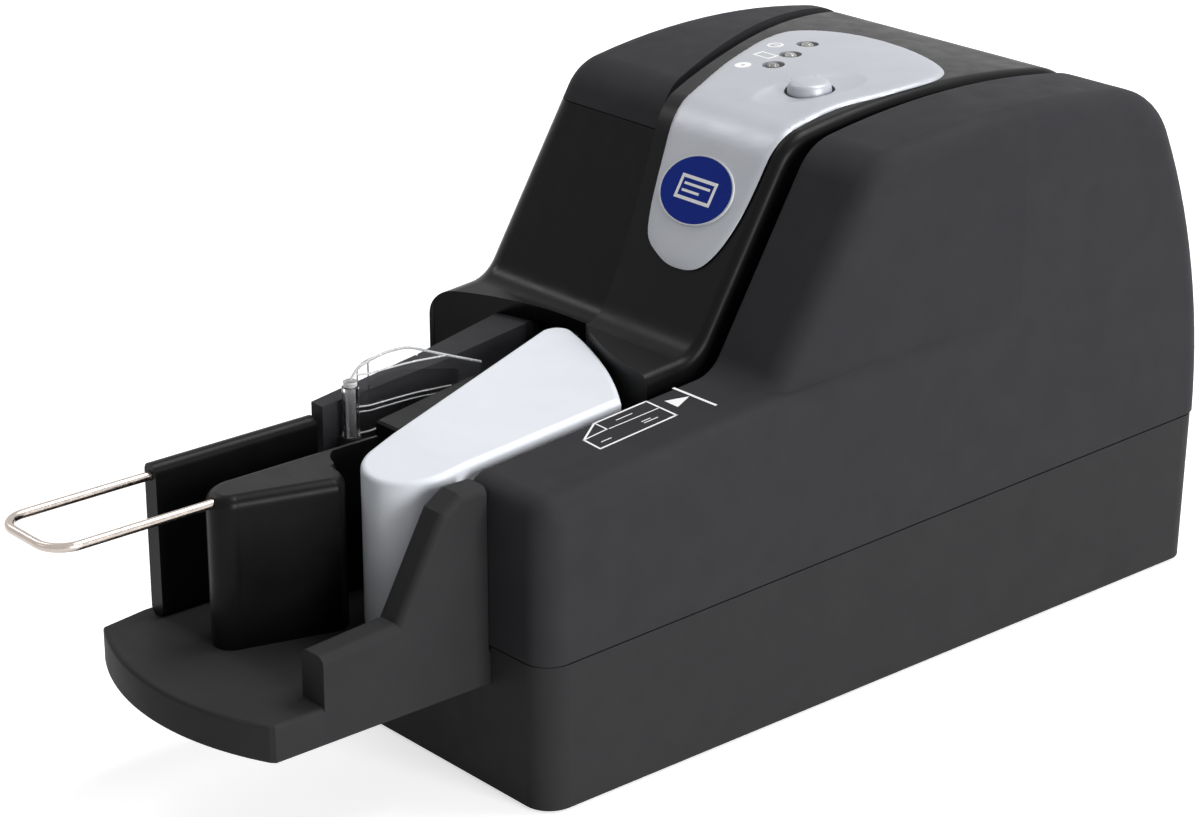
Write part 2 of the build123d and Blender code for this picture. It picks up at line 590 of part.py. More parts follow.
NOSE_AT = (PUSHER_X - PUSHER_NOSE_R, FRONT_Y - 3.0)
PUSHER_PIVOT = (-2.0, FRONT_Y + 61.0)
PIVOT_R = 2.0
BOSS_R = 3.5
BOSS_PTS = ((BASE_IN_X - 5, FRONT_Y + 9), (-BASE_IN_X + 5, FRONT_Y + 9), (BASE_IN_X - 5, BACK_Y - 9),
            (-BASE_IN_X + 5, BACK_Y - 9), (BASE_IN_X - 4, FRONT_Y + 118), (-BASE_IN_X + 5, FRONT_Y + 118))
SCREW_R = 1.25
HEAD_R = 2.4
HEAD_H = 1.6
FOOT_R = 6.0
FOOT_INSET = 14.0
STANDOFF_H = 4.0
BOARD_W = 84.0
BOARD_L = 120.0
BOARD_T = 1.6
BOARD_Y = FRONT_Y + 100.0
BOARD_Z = FLOOR_Z + WALL + STANDOFF_H
BOARD_EDGE = 4.0                # board screws stand in from the board's edges
BOARD_PTS = tuple((sx * (BOARD_W / 2 - BOARD_EDGE), BOARD_Y + sy * (BOARD_L / 2 - BOARD_EDGE))
                  for sx in (-1, 1) for sy in (-1, 1))
USB_X = 18.0
USB_W = 12.0
USB_H = 11.0
USB_D = 16.0
POWER_X = -12.0
POWER_R = 4.5
POWER_D = 14.0
POWER_BORE_R = 2.8
POWER_BORE_D = 9.0
PORT_Z = FLOOR_Z + 16.7

with BuildPart() as base_pan:
    with BuildSketch(Plane.XY.offset(SEAM_BACK_Z + 3)):
        with Locations((0, (FRONT_Y + BACK_Y) / 2)):
            RectangleRounded(BODY_W, BODY_L, CORNER_R)
    extrude(amount=-(SEAM_BACK_Z + 3 - FLOOR_Z), taper=BASE_DRAFT)
    with BuildSketch(Plane.XY.offset(SEAM_BACK_Z + 3)):
        with Locations((0, (FRONT_Y + BACK_Y) / 2)):
            RectangleRounded(BODY_W - 2 * WALL, BODY_L - 2 * WALL, CORNER_R - WALL)
    extrude(amount=-(SEAM_BACK_Z + 3 - FLOOR_Z - WALL), taper=BASE_DRAFT, mode=Mode.SUBTRACT)
    split(bisect_by=seam_plane, keep=Keep.BOTTOM)
    with Locations(*[(x, y, FLOOR_Z + WALL / 2) for x, y in BOSS_PTS]):
        Cylinder(BOSS_R, DECK_Z - FLOOR_Z - WALL / 2, align=(Align.CENTER, Align.CENTER, Align.MIN))
    with Locations(*[(x, y, DECK_Z) for x, y in BOSS_PTS]):
        Cylinder(SCREW_R, 12, align=(Align.CENTER, Align.CENTER, Align.MAX), mode=Mode.SUBTRACT)
    with Locations(*[(x, y, FLOOR_Z + WALL / 2) for x, y in BOARD_PTS]):
        Cylinder(3, WALL / 2 + STANDOFF_H, align=(Align.CENTER, Align.CENTER, Align.MIN))
    with Locations(*[(x, y, BOARD_Z) for x, y in BOARD_PTS]):
        Cylinder(SCREW_R, STANDOFF_H, align=(Align.CENTER, Align.CENTER, Align.MAX), mode=Mode.SUBTRACT)
    tray_mid = (TRAY_LEFT_X + TRAY_RIGHT_X) / 2
    with Locations((tray_mid, FRONT_Y + WALL / 2, TRAY_Z - 0.2)):
        Box(TRAY_RIGHT_X - TRAY_LEFT_X + 0.4, 3 * WALL, 20, align=(Align.CENTER, Align.CENTER, Align.MIN),
            mode=Mode.SUBTRACT)
    with Locations((USB_X, BACK_Y, PORT_Z)):
        Box(USB_W, 4 * WALL, USB_H, mode=Mode.SUBTRACT)
    with Locations(Location((POWER_X, BACK_Y, PORT_Z), (90, 0, 0))):
        Cylinder(POWER_R, 4 * WALL, mode=Mode.SUBTRACT)
write(base_pan.part, "base_pan")

with BuildPart() as rubber_feet:
    for sx in (-1, 1):
        for y in (FRONT_Y + FOOT_INSET, BACK_Y - FOOT_INSET):
            with Locations((sx * (RIGHT_X - FOOT_INSET), y, 0)):
                Cylinder(FOOT_R, FOOT_H, align=(Align.CENTER, Align.CENTER, Align.MIN))
    fillet(rubber_feet.faces().filter_by(Axis.Z).group_by(Axis.Z)[0].edges(), FOOT_H / 3)
write(rubber_feet.part, "rubber_feet")

with BuildPart() as transport_deck:
    with BuildSketch(Plane.XY.offset(DECK_Z)):
        with Locations((0, (FRONT_Y + BACK_Y) / 2)):
            deck_inset = 2 * (WALL + FIT + 0.7)
            RectangleRounded(BODY_W - deck_inset, BODY_L - deck_inset, CORNER_R - WALL)
    extrude(amount=DECK_T)
    for place in DRIVES.values():
        with Locations((*place, DECK_Z)):
            Cylinder(BUSH_R, DECK_T, align=(Align.CENTER, Align.CENTER, Align.MIN), mode=Mode.SUBTRACT)
    with Locations((*MOTOR_AT, DECK_Z)):
        Cylinder(BUSH_R, DECK_T, align=(Align.CENTER, Align.CENTER, Align.MIN), mode=Mode.SUBTRACT)
    with Locations(*[(x, y, DECK_TOP_Z) for x, y in BOSS_PTS]):
        CounterBoreHole(SCREW_R + 0.15, HEAD_R + 0.2, HEAD_H)
write(transport_deck.part, "transport_deck")


def screws(places, z_head, length, label):
    """Pan-head screws driven down at the places."""
    with BuildPart() as group:
        with Locations(*[(x, y, z_head) for x, y in places]):
            Cylinder(HEAD_R, HEAD_H, align=(Align.CENTER, Align.CENTER, Align.MIN))
            Cylinder(SCREW_R - 0.02, length, align=(Align.CENTER, Align.CENTER, Align.MAX))
    write(group.part, label)


screws(BOSS_PTS, DECK_TOP_Z - HEAD_H, 9, "deck_screws")

with BuildPart() as front_tray:
    with BuildSketch(Plane.XY.offset(TRAY_Z)):
        with BuildLine():
            front = ThreePointArc((TRAY_RIGHT_X - 1, TRAY_FRONT_Y + 8), (TRAY_RIGHT_X - 28.6, TRAY_FRONT_Y),
                                  (TRAY_LEFT_X + 2, TRAY_FRONT_Y + 9))
            Polyline(front @ 1, (TRAY_LEFT_X, TRAY_FRONT_Y + 22), (TRAY_LEFT_X, FRONT_Y + WALL),
                     (TRAY_RIGHT_X, FRONT_Y + WALL), (TRAY_RIGHT_X, TRAY_FRONT_Y + 9), front @ 0)
        make_face()
    extrude(amount=TRAY_T)
    rim = front_tray.edges().filter_by(lambda e: e.center().Y < FRONT_Y - 1
                                       and abs(e.center().Z - DECK_TOP_Z) < 0.01)
    fillet(rim, 1.2)
    with Locations((tray_mid, FRONT_Y, TRAY_Z)):
        Box(TRAY_RIGHT_X - TRAY_LEFT_X, WALL + TONGUE, TRAY_T - DECK_T - 0.1,
            align=(Align.CENTER, Align.MIN, Align.MIN))
    with BuildSketch(Plane.YZ.offset(TRAY_RIGHT_X)) as fin_face:
        with BuildLine():
            Polyline((FRONT_Y - FIN_REACH, TRAY_Z + 4), (FRONT_Y - FIN_REACH, FIN_TOE_Z), FIN_BEND, FIN_BROW,
                     (FRONT_Y - 8, FIN_TOP_Z), (FRONT_Y - FIT, FIN_TOP_Z), (FRONT_Y - FIT, TRAY_Z + 4),
                     (FRONT_Y - FIN_REACH, TRAY_Z + 4))
        make_face()
        for corner, radius in ((FIN_BEND, 6), (FIN_BROW, 5), ((FRONT_Y - FIN_REACH, FIN_TOE_Z), 4)):
            fillet(fin_face.vertices().sort_by_distance((0, *corner))[0], radius)
    extrude(amount=-FIN_T)
    rim = front_tray.edges().filter_by(lambda e: e.center().Z > DECK_TOP_Z + 8
                                       and abs(e.tangent_at(0.5).X) < 0.1 and e.center().Y < FRONT_Y - 2)
    fillet(rim, 2.2)
write(front_tray.part, "front_tray")

# ---------------------------------------------------------------------------
# pieces standing on the tray and the deck
# ---------------------------------------------------------------------------
with BuildPart() as divider_post:
    with BuildSketch(Plane.XY.offset(DECK_TOP_Z)):
        with BuildLine():
            back = Polyline((POST_LEFT_X, FRONT_Y + 4), (POST_LEFT_X + 3.4, FRONT_Y + 4),
                            (POST_LEFT_X + 3.4, FRONT_Y - 10))
            bowl = ThreePointArc(back @ 1, (POST_LEFT_X + 7.6, FRONT_Y - 13.6),
                                 (POST_LEFT_X + 12.5, FRONT_Y - 14.6))
            lobe = ThreePointArc(bowl @ 1, (POST_LEFT_X + 17.5, FRONT_Y - 16.8),
                                 (POST_LEFT_X + 20, FRONT_Y - 20.5))
            face = Line(lobe @ 1, (POST_LEFT_X + 12.8, FRONT_Y - 44.5))
            nose = ThreePointArc(face @ 1, (POST_LEFT_X + 9.5, FRONT_Y - 49),
                                 (POST_LEFT_X + 5, FRONT_Y - 48.6))
            cheek = ThreePointArc(nose @ 1, (POST_LEFT_X + 1.3, FRONT_Y - 45), (POST_LEFT_X, FRONT_Y - 39))
            Line(cheek @ 1, back @ 0)
        make_face()
    extrude(amount=POST_TOP_Z - DECK_TOP_Z)
    rim = divider_post.faces().sort_by(Axis.Z)[-1].edges().filter_by(lambda e: e.center().Y < FRONT_Y - 16)
    fillet(rim, 3.0)
    with Locations(Location((WIRE_RIGHT_X, FRONT_Y - WIRE_IN + WIRE_SLIDE, WIRE_Z), (90, 0, 0))):
        Cylinder(WIRE_R + 0.15, 60, align=(Align.CENTER, Align.CENTER, Align.MIN), mode=Mode.SUBTRACT)
write(divider_post.part, "divider_post")

with BuildPart() as pocket_side_wall:
    with BuildSketch(Plane.XZ.offset(-FRONT_Y + WALL_BACK)) as wall_face:
        with Locations((WIRE_LEFT_X, DECK_TOP_Z)):
            Rectangle(POCKET_T, POCKET_TOP_Z - DECK_TOP_Z, align=(Align.CENTER, Align.MIN))
        fillet(wall_face.vertices().group_by(Axis.Z)[-1], POCKET_T / 2 - 0.1)
    extrude(amount=POCKET_WALL_L)
    with Locations(Location((WIRE_LEFT_X, FRONT_Y - WIRE_IN + WIRE_SLIDE, WIRE_Z), (90, 0, 0))):
        Cylinder(WIRE_R + 0.15, 60, align=(Align.CENTER, Align.CENTER, Align.MIN), mode=Mode.SUBTRACT)
write(pocket_side_wall.part, "pocket_side_wall")

with BuildPart() as wire_extension:
    with BuildLine():
        far_y = FRONT_Y - LOOP_REACH + WIRE_R
        near_y = FRONT_Y - WIRE_IN
        wire_path = FilletPolyline((WIRE_LEFT_X, near_y, WIRE_Z), (WIRE_LEFT_X, far_y, WIRE_Z),
                                   (WIRE_RIGHT_X, far_y, WIRE_Z), (WIRE_RIGHT_X, near_y, WIRE_Z),
                                   radius=WIRE_BEND_R)
    with BuildSketch(Plane(origin=wire_path @ 0, z_dir=wire_path % 0)):
        Circle(WIRE_R)
    sweep()
write(wire_extension.part, "wire_extension")

with BuildPart() as divider_block:
    with BuildSketch(Plane.XY.offset(DECK_TOP_Z)):
        with BuildLine():
            Polyline((-10.2, FRONT_Y + 8.7), (-1.3, FRONT_Y + 8.8), (-9.2, FRONT_Y + 40),
                     (-19.5, FRONT_Y + 48), (-10.2, FRONT_Y + 8.7))
        make_face()
    extrude(amount=DIVIDER_TOP_Z - DECK_TOP_Z)
    chamfer(divider_block.faces().sort_by(Axis.Z)[-1].edges(), 0.6)
write(divider_block.part, "divider_block")

with BuildPart() as hopper_pusher:
    with BuildSketch(Plane.XY.offset(DECK_TOP_Z + PUSHER_LIFT)):
        with BuildLine():
            right = Line((PUSHER_X, FRONT_Y + 51.5), (PUSHER_X, NOSE_AT[1]))
            tip = CenterArc(NOSE_AT, PUSHER_NOSE_R, 0, PUSHER_TAPER - 180)
            left = Line(tip @ 1, (-15.4, FRONT_Y + 67))
            heel = ThreePointArc(left @ 1, (-13.7, FRONT_Y + 71.2), (-8.3, FRONT_Y + 72))
            ThreePointArc(heel @ 1, (14, FRONT_Y + 63.3), right @ 0)
        make_face()
    extrude(amount=60)
    with BuildSketch(Plane.YZ.offset(LEFT_X)) as pusher_side:
        with BuildLine():
            Polyline((FRONT_Y + 80, DECK_Z), (FRONT_Y + 80, ledge_z(FRONT_Y + 80, 1)),
                     (FRONT_Y + 2, ledge_z(FRONT_Y + 2, 1)), (FRONT_Y - 20, PUSHER_TIP_Z),
                     (FRONT_Y - 20, DECK_Z), (FRONT_Y + 80, DECK_Z))
        make_face()
        fillet(pusher_side.vertices().sort_by_distance((0, FRONT_Y + 2, LEDGE_Z))[0], 12)
    extrude(amount=RIGHT_X - LEFT_X, mode=Mode.INTERSECT)
    rim = hopper_pusher.edges().filter_by(lambda e: e.center().Z > LEDGE_Z - 5 and not
                                          (abs(e.tangent_at(0.5).X) > 0.99))
    fillet(rim, PUSHER_EDGE_R)
    with Locations((*PUSHER_PIVOT, DECK_TOP_Z)):
        Cylinder(PIVOT_R + RUN, 30, align=(Align.CENTER, Align.CENTER, Align.MIN), mode=Mode.SUBTRACT)
write(hopper_pusher.part, "hopper_pusher")

# ---------------------------------------------------------------------------
# document track: fixed walls, sensors, reading head
# ---------------------------------------------------------------------------
GUIDE_T = 2.0
HOPPER_WALL_Y = FRONT_Y + LIP_H + FIT
SENSOR_W = 9.0
SENSOR_L = 14.0


def guide_path(side, right_y, exit_y):
    """Centre line of a guide beside the U-shaped document path."""
    lean = radians(EXIT_DEG)
    radius = TURN_R + side
    with BuildLine() as path:
        first = Line((TURN_X + radius, right_y), (TURN_X + radius, TURN_Y))
        turn = ThreePointArc(first @ 1, (TURN_X, TURN_Y + radius),
                             (TURN_X - radius * cos(lean), TURN_Y - radius * sin(lean)))
        Line(turn @ 1, exit_point(exit_y, side))
    return path.line


side_offset = SLOT / 2 + GUIDE_T / 2
with BuildPart() as outer_guide:
    with BuildSketch(Plane.XY.offset(DECK_TOP_Z)):
        with BuildLine():
            add(guide_path(side_offset, LOW_END_Y + 4, FRONT_Y + 84))
        trace(line_width=GUIDE_T)
    extrude(amount=GUIDE_TOP_Z - DECK_TOP_Z)
    with BuildSketch(Plane.XY.offset(GUIDE_TOP_Z)):
        with BuildLine():
            add(guide_path(side_offset, LOW_END_Y + 4, LOW_END_Y + 12))
        trace(line_width=GUIDE_T)
    extrude(amount=TRACK_TOP_Z - GUIDE_TOP_Z)
    roller_windows((REAR_AT, EXIT_AT), DRIVE_R)
write(outer_guide.part, "outer_guide")

with BuildPart() as inner_guide:
    with BuildSketch(Plane.XY.offset(DECK_TOP_Z)):
        with BuildLine():
            add(guide_path(-side_offset, LOW_END_Y + 2, FRONT_Y + 84))
        trace(line_width=GUIDE_T)
    extrude(amount=GUIDE_TOP_Z - DECK_TOP_Z)
    with BuildSketch(Plane.XY.offset(GUIDE_TOP_Z)):
        with BuildLine():
            add(guide_path(-side_offset, LOW_END_Y + 2, LOW_END_Y + 12))
        trace(line_width=GUIDE_T)
    extrude(amount=TRACK_TOP_Z - GUIDE_TOP_Z)
    roller_windows((EXIT_PINCH_AT,), PINCH_R)
write(inner_guide.part, "inner_guide")

with BuildPart() as hopper_wall:
    with Locations((COVER_IN_X, HOPPER_WALL_Y, DECK_TOP_Z)):
        Box(WALL, LOW_END_Y + 2 - HOPPER_WALL_Y, GUIDE_TOP_Z - 3 - DECK_TOP_Z,
            align=(Align.MIN, Align.MIN, Align.MIN))
    roller_windows((PICK_AT, FEED_AT, RUN_AT), DRIVE_R)
write(hopper_wall.part, "hopper_wall")


def block(place, size, label):
    """Plain housing that stands on the deck, its edges eased."""
    with BuildPart() as unit:
        with Locations((*place, DECK_TOP_Z)):
            Box(*size, align=(Align.CENTER, Align.CENTER, Align.MIN))
        chamfer(unit.edges().filter_by(Axis.Z), 0.8)
    write(unit.part, label)


SENSOR_H = 34.0
sensor_y = (FEED_Y + RUN_Y) / 2
sensor_size = (SENSOR_W, SENSOR_L, SENSOR_H)
reader_x = CORE_X - WALL - SENSOR_W / 2 - 0.2
block((COVER_IN_X + WALL + SENSOR_W / 2 + 0.1, sensor_y), sensor_size, "front_image_sensor")
block((reader_x, sensor_y), sensor_size, "rear_image_sensor")
block((reader_x, RUN_Y + 10.5), (SENSOR_W, 7, 16), "magnetic_head")
block((TURN_X, TURN_Y + 8), (30, 24, 40), "ink_cartridge")

# ---------------------------------------------------------------------------
# rollers, pulleys, belt and motor
# ---------------------------------------------------------------------------
def drive_roller(name, place):
    """Driven roller: steel shaft with hub, two rubber tyres and a belt pulley."""
    x, y = place
    with BuildPart() as shaft:
        with Locations((x, y, SHAFT_Z)):
            Cylinder(SHAFT_R, SHAFT_TOP_Z - SHAFT_Z, align=(Align.CENTER, Align.CENTER, Align.MIN))
        with Locations((x, y, TYRE_Z[0] - 1)):
            Cylinder(HUB_R, TYRE_Z[1] + TYRE_H + 1.5 - TYRE_Z[0],
                     align=(Align.CENTER, Align.CENTER, Align.MIN))
        chamfer(shaft.faces().sort_by(Axis.Z)[-1].edges(), 0.5)
    write(shaft.part, f"{name}_shaft")
    with BuildPart() as tyres:
        for z in TYRE_Z:
            with Locations((x, y, z)):
                Cylinder(DRIVE_R, TYRE_H, align=(Align.CENTER, Align.CENTER, Align.MIN))
                Cylinder(HUB_R, TYRE_H, align=(Align.CENTER, Align.CENTER, Align.MIN), mode=Mode.SUBTRACT)
    write(tyres.part, f"{name}_tyres")
    belt_pulley(f"{name}_pulley", place, SHAFT_R)


def belt_pulley(label, place, bore_r):
    """Flanged pulley under the deck."""
    with BuildPart() as pulley:
        with Locations((*place, PULLEY_Z)):
            Cylinder(PULLEY_R, BELT_W + 2 * PULLEY_FLANGE, align=(Align.CENTER, Align.CENTER, Align.MIN))
            Cylinder(PULLEY_R + 1.6, PULLEY_FLANGE, align=(Align.CENTER, Align.CENTER, Align.MIN))
        with Locations((*place, PULLEY_Z + PULLEY_FLANGE + BELT_W)):
            Cylinder(PULLEY_R + 1.6, PULLEY_FLANGE, align=(Align.CENTER, Align.CENTER, Align.MIN))
        with Locations((*place, PULLEY_Z)):
            Cylinder(bore_r, BELT_W + 2 * PULLEY_FLANGE, align=(Align.CENTER, Align.CENTER, Align.MIN),
                     mode=Mode.SUBTRACT)
    write(pulley.part, label)


for name, place in DRIVES.items():
    drive_roller(name, place)

with BuildPart() as shaft_bushes:
    for place in DRIVES.values():
        with Locations((*place, DECK_Z)):
            Cylinder(BUSH_R, DECK_T, align=(Align.CENTER, Align.CENTER, Align.MIN))
        with Locations((*place, DECK_TOP_Z)):
            Cylinder(BUSH_R + 1.2, 1.0, align=(Align.CENTER, Align.CENTER, Align.MIN))
        with Locations((*place, DECK_Z)):
            Cylinder(SHAFT_R + RUN, DECK_T + 1.0, align=(Align.CENTER, Align.CENTER, Align.MIN),
                     mode=Mode.SUBTRACT)
write(shaft_bushes.part, "shaft_bushes")

PIN_R = 1.5
SEP_PINS = {"separation": (SEP_AT, SEP_R), "run_pinch": (RUN_PINCH_AT, PINCH_R),
            "exit_pinch": (EXIT_PINCH_AT, PINCH_R)}
for name, (place, radius) in SEP_PINS.items():
    with BuildPart() as idler:
        for z in TYRE_Z:
            with Locations((*place, z)):
                Cylinder(radius, TYRE_H, align=(Align.CENTER, Align.CENTER, Align.MIN))
        with Locations((*place, TYRE_Z[0] - 1)):
            Cylinder(radius - 2.2, TYRE_Z[1] - TYRE_Z[0] + TYRE_H + 2,
                     align=(Align.CENTER, Align.CENTER, Align.MIN))
        with Locations((*place, TYRE_Z[0] - 1)):
            Cylinder(PIN_R + RUN, 60, align=(Align.CENTER, Align.CENTER, Align.MIN), mode=Mode.SUBTRACT)
    write(idler.part, f"{name}_roller")

with BuildPart() as idler_pins:
    for place, radius in SEP_PINS.values():
        with Locations((*place, DECK_TOP_Z)):
            Cylinder(PIN_R + 0.25, TYRE_Z[0] - 1.2 - DECK_TOP_Z,
                     align=(Align.CENTER, Align.CENTER, Align.MIN))
            Cylinder(PIN_R, SHAFT_TOP_Z - DECK_TOP_Z, align=(Align.CENTER, Align.CENTER, Align.MIN))
write(idler_pins.part, "idler_pins")

MOTOR_W = 36.0
MOTOR_H = 22.0
MOTOR_Z = PULLEY_Z - 1.0 - MOTOR_H
MOTOR_SHAFT_R = 2.0
with BuildPart() as drive_motor:
    with BuildSketch(Plane.XY.offset(MOTOR_Z)):
        with Locations(MOTOR_AT):
            Rectangle(MOTOR_W, MOTOR_W)
    extrude(amount=MOTOR_H)
    chamfer(drive_motor.edges().filter_by(Axis.Z), 3)
    motor_ears = [(MOTOR_AT[0] + sx * (MOTOR_W / 2 - 4), MOTOR_AT[1] + sy * (MOTOR_W / 2 - 4))
                  for sx in (-1, 1) for sy in (-1, 1)]
    with Locations(*[(x, y, MOTOR_Z + MOTOR_H) for x, y in motor_ears]):
        Cylinder(2.2, DECK_Z - MOTOR_Z - MOTOR_H, align=(Align.CENTER, Align.CENTER, Align.MIN))
    with Locations((*MOTOR_AT, MOTOR_Z)):
        Cylinder(MOTOR_SHAFT_R + RUN, MOTOR_H, align=(Align.CENTER, Align.CENTER, Align.MIN),
                 mode=Mode.SUBTRACT)
write(drive_motor.part, "drive_motor")

with BuildPart() as motor_shaft:
    with Locations((*MOTOR_AT, MOTOR_Z + 4)):
        Cylinder(MOTOR_SHAFT_R, DECK_TOP_Z - MOTOR_Z - 5, align=(Align.CENTER, Align.CENTER, Align.MIN))
write(motor_shaft.part, "motor_shaft")
belt_pulley("motor_pulley", MOTOR_AT, MOTOR_SHAFT_R)


def belt_outline(radius):
    """Tight loop round every pulley."""
    with BuildSketch() as loop:
        with BuildLine():
            for place in (*DRIVES.values(), MOTOR_AT):
                CenterArc(place, radius, 0, 360)
        make_hull()
    return loop.sketch


with BuildPart() as drive_belt:
    with BuildSketch(Plane.XY.offset(PULLEY_Z + PULLEY_FLANGE + 0.1)):
        add(belt_outline(PULLEY_R + RUN + BELT_T))
        add(belt_outline(PULLEY_R + RUN), mode=Mode.SUBTRACT)
    extrude(amount=BELT_W - 0.2)
write(drive_belt.part, "drive_belt")
# ---------------------------------------------------------------------------
# hinges of the covers
# ---------------------------------------------------------------------------
HINGES = ((HINGE_X, HINGE_Y), (LEFT_HINGE_X, HINGE_Y))
ARM_R = 2.0
COLUMN = 7.0
COLUMN_SHIFT = 2.0              # column stands in from the pin
COLUMN_BACK = 8.5               # column's back face, ahead of the pin
ARM_Z = ((SEAM_BACK_Z + 0.5, KNUCKLE_Z[0] - FIT), (KNUCKLE_Z[0] + KNUCKLE_H + FIT, KNUCKLE_Z[1] - FIT))

with BuildPart() as hinge_brackets:
    for x, y in HINGES:
        with Locations((x + COLUMN_SHIFT, y - COLUMN_BACK, DECK_TOP_Z)):
            Box(COLUMN, COLUMN, ARM_Z[1][1] - DECK_TOP_Z, align=(Align.CENTER, Align.MAX, Align.MIN))
        for low, high in ARM_Z:
            with Locations((x, y, low)):
                Cylinder(ARM_R, high - low, align=(Align.CENTER, Align.CENTER, Align.MIN))
                Box(2 * ARM_R - 1, COLUMN_BACK + 0.5, high - low, align=(Align.CENTER, Align.MAX, Align.MIN))
        with Locations((x, y, DECK_TOP_Z)):
            Cylinder(HINGE_PIN_R, HINGE_TOP_Z, align=(Align.CENTER, Align.CENTER, Align.MIN),
                     mode=Mode.SUBTRACT)
write(hinge_brackets.part, "hinge_brackets")

with BuildPart() as hinge_pins:
    for x, y in HINGES:
        with Locations((x, y, ARM_Z[0][0])):
            Cylinder(HINGE_PIN_R, HINGE_TOP_Z - ARM_Z[0][0], align=(Align.CENTER, Align.CENTER, Align.MIN))
    chamfer(hinge_pins.faces().filter_by(Axis.Z).group_by(Axis.Z)[-1].edges(), 0.4)
write(hinge_pins.part, "hinge_pins")

with BuildPart() as pusher_pin:
    with Locations((*PUSHER_PIVOT, DECK_TOP_Z)):
        Cylinder(PIVOT_R, 28, align=(Align.CENTER, Align.CENTER, Align.MIN))
write(pusher_pin.part, "pusher_pin")

# ---------------------------------------------------------------------------
# clear exit flap on the left cover's pocket wall
# ---------------------------------------------------------------------------
with BuildPart() as exit_flap:
    with BuildSketch(Plane.XY.offset(FLAP_LOW_Z)):
        with BuildLine():
            Polyline(FLAP_AT, (FLAP_AT[0] + 0.8, FRONT_Y + 12), (FLAP_AT[0] - 2.6, FRONT_Y + 30),
                     (FLAP_AT[0] - 5.2, FRONT_Y + 53))
        trace(line_width=FLAP_T)
    extrude(amount=FLAP_TOP_Z - FLAP_LOW_Z)
    with BuildSketch(Plane.YZ.offset(LEFT_X)):
        with BuildLine():
            hem = Polyline((FRONT_Y + 54, FLAP_LOW_Z), (FRONT_Y, FLAP_LOW_Z), (FRONT_Y, FLAP_BOSS_TOP_Z),
                           (FLAP_AT[1] + 0.5, FLAP_BOSS_TOP_Z + 2))
            brow = ThreePointArc(hem @ 1, (FRONT_Y + 10, FLAP_TOP_Z - 1), (FRONT_Y + 16, FLAP_TOP_Z))
            crest = ThreePointArc(brow @ 1, (FRONT_Y + 27, FLAP_TOP_Z - 1.2), (FRONT_Y + 36, FLAP_TOP_Z - 5))
            Polyline(crest @ 1, (FRONT_Y + 54, FLAP_LOW_Z + 6.4), hem @ 0)
        make_face()
    extrude(amount=RIGHT_X, mode=Mode.INTERSECT)
    with Locations((*FLAP_AT, FLAP_LOW_Z)):
        Cylinder(FLAP_BOSS_R - FIT, FLAP_BOSS_TOP_Z - FLAP_LOW_Z,
                 align=(Align.CENTER, Align.CENTER, Align.MIN))
    with Locations((*FLAP_AT, FLAP_LOW_Z)):
        Cylinder(FLAP_PIN_R + RUN, 2 * (FLAP_TOP_Z - FLAP_LOW_Z), mode=Mode.SUBTRACT)
    with Locations((*FLAP_AT, FLAP_BOSS_TOP_Z)):
        Cylinder(FLAP_HEAD_R + FIT, FLAP_TOP_Z - FLAP_BOSS_TOP_Z,
                 align=(Align.CENTER, Align.CENTER, Align.MIN), mode=Mode.SUBTRACT)
write(exit_flap.part, "exit_flap")

with BuildPart() as flap_pin:
    with Locations((*FLAP_AT, FLAP_LOW_Z - FLAP_LUG_H - FLAP_GAP)):
        Cylinder(FLAP_PIN_R, FLAP_BOSS_TOP_Z - FLAP_LOW_Z + FLAP_LUG_H + 2 * FLAP_GAP,
                 align=(Align.CENTER, Align.CENTER, Align.MIN))
    with Locations((*FLAP_AT, FLAP_BOSS_TOP_Z + FLAP_GAP)):
        Cylinder(FLAP_HEAD_R, 1.2, align=(Align.CENTER, Align.CENTER, Align.MIN))
write(flap_pin.part, "flap_pin")

# ---------------------------------------------------------------------------
# electronics in the base and under the button
# ---------------------------------------------------------------------------
with BuildPart() as main_board:
    with BuildSketch(Plane.XY.offset(BOARD_Z)):
        with Locations((0, BOARD_Y)):
            Rectangle(BOARD_W, BOARD_L)
        with Locations(*BOARD_PTS):
            Circle(SCREW_R + 0.2, mode=Mode.SUBTRACT)
    extrude(amount=BOARD_T)
    with Locations((-14, BOARD_Y - 20, BOARD_Z + BOARD_T)):
        Box(16, 16, 1.8, align=(Align.CENTER, Align.CENTER, Align.MIN))
    with Locations((14, BOARD_Y + 6, BOARD_Z + BOARD_T)):
        Box(12, 9, 1.4, align=(Align.CENTER, Align.CENTER, Align.MIN))
write(main_board.part, "main_board")
screws(BOARD_PTS, BOARD_Z + BOARD_T, 5.0, "board_screws")

with BuildPart() as usb_socket:
    with Locations((USB_X, BACK_Y - USB_D / 2, PORT_Z)):
        Box(USB_W - 0.4, USB_D, USB_H - 0.4)
    with Locations((USB_X, BACK_Y - USB_D / 4, PORT_Z)):
        Box(USB_W - 3, USB_D / 2, USB_H - 3, mode=Mode.SUBTRACT)
    with Locations((USB_X, BACK_Y - USB_D, PORT_Z - USB_H / 2 + 0.2)):
        Box(USB_W - 0.4, 5, PORT_Z - USB_H / 2 - FLOOR_Z - WALL + 0.2,
            align=(Align.CENTER, Align.MIN, Align.MAX))
write(usb_socket.part, "usb_socket")

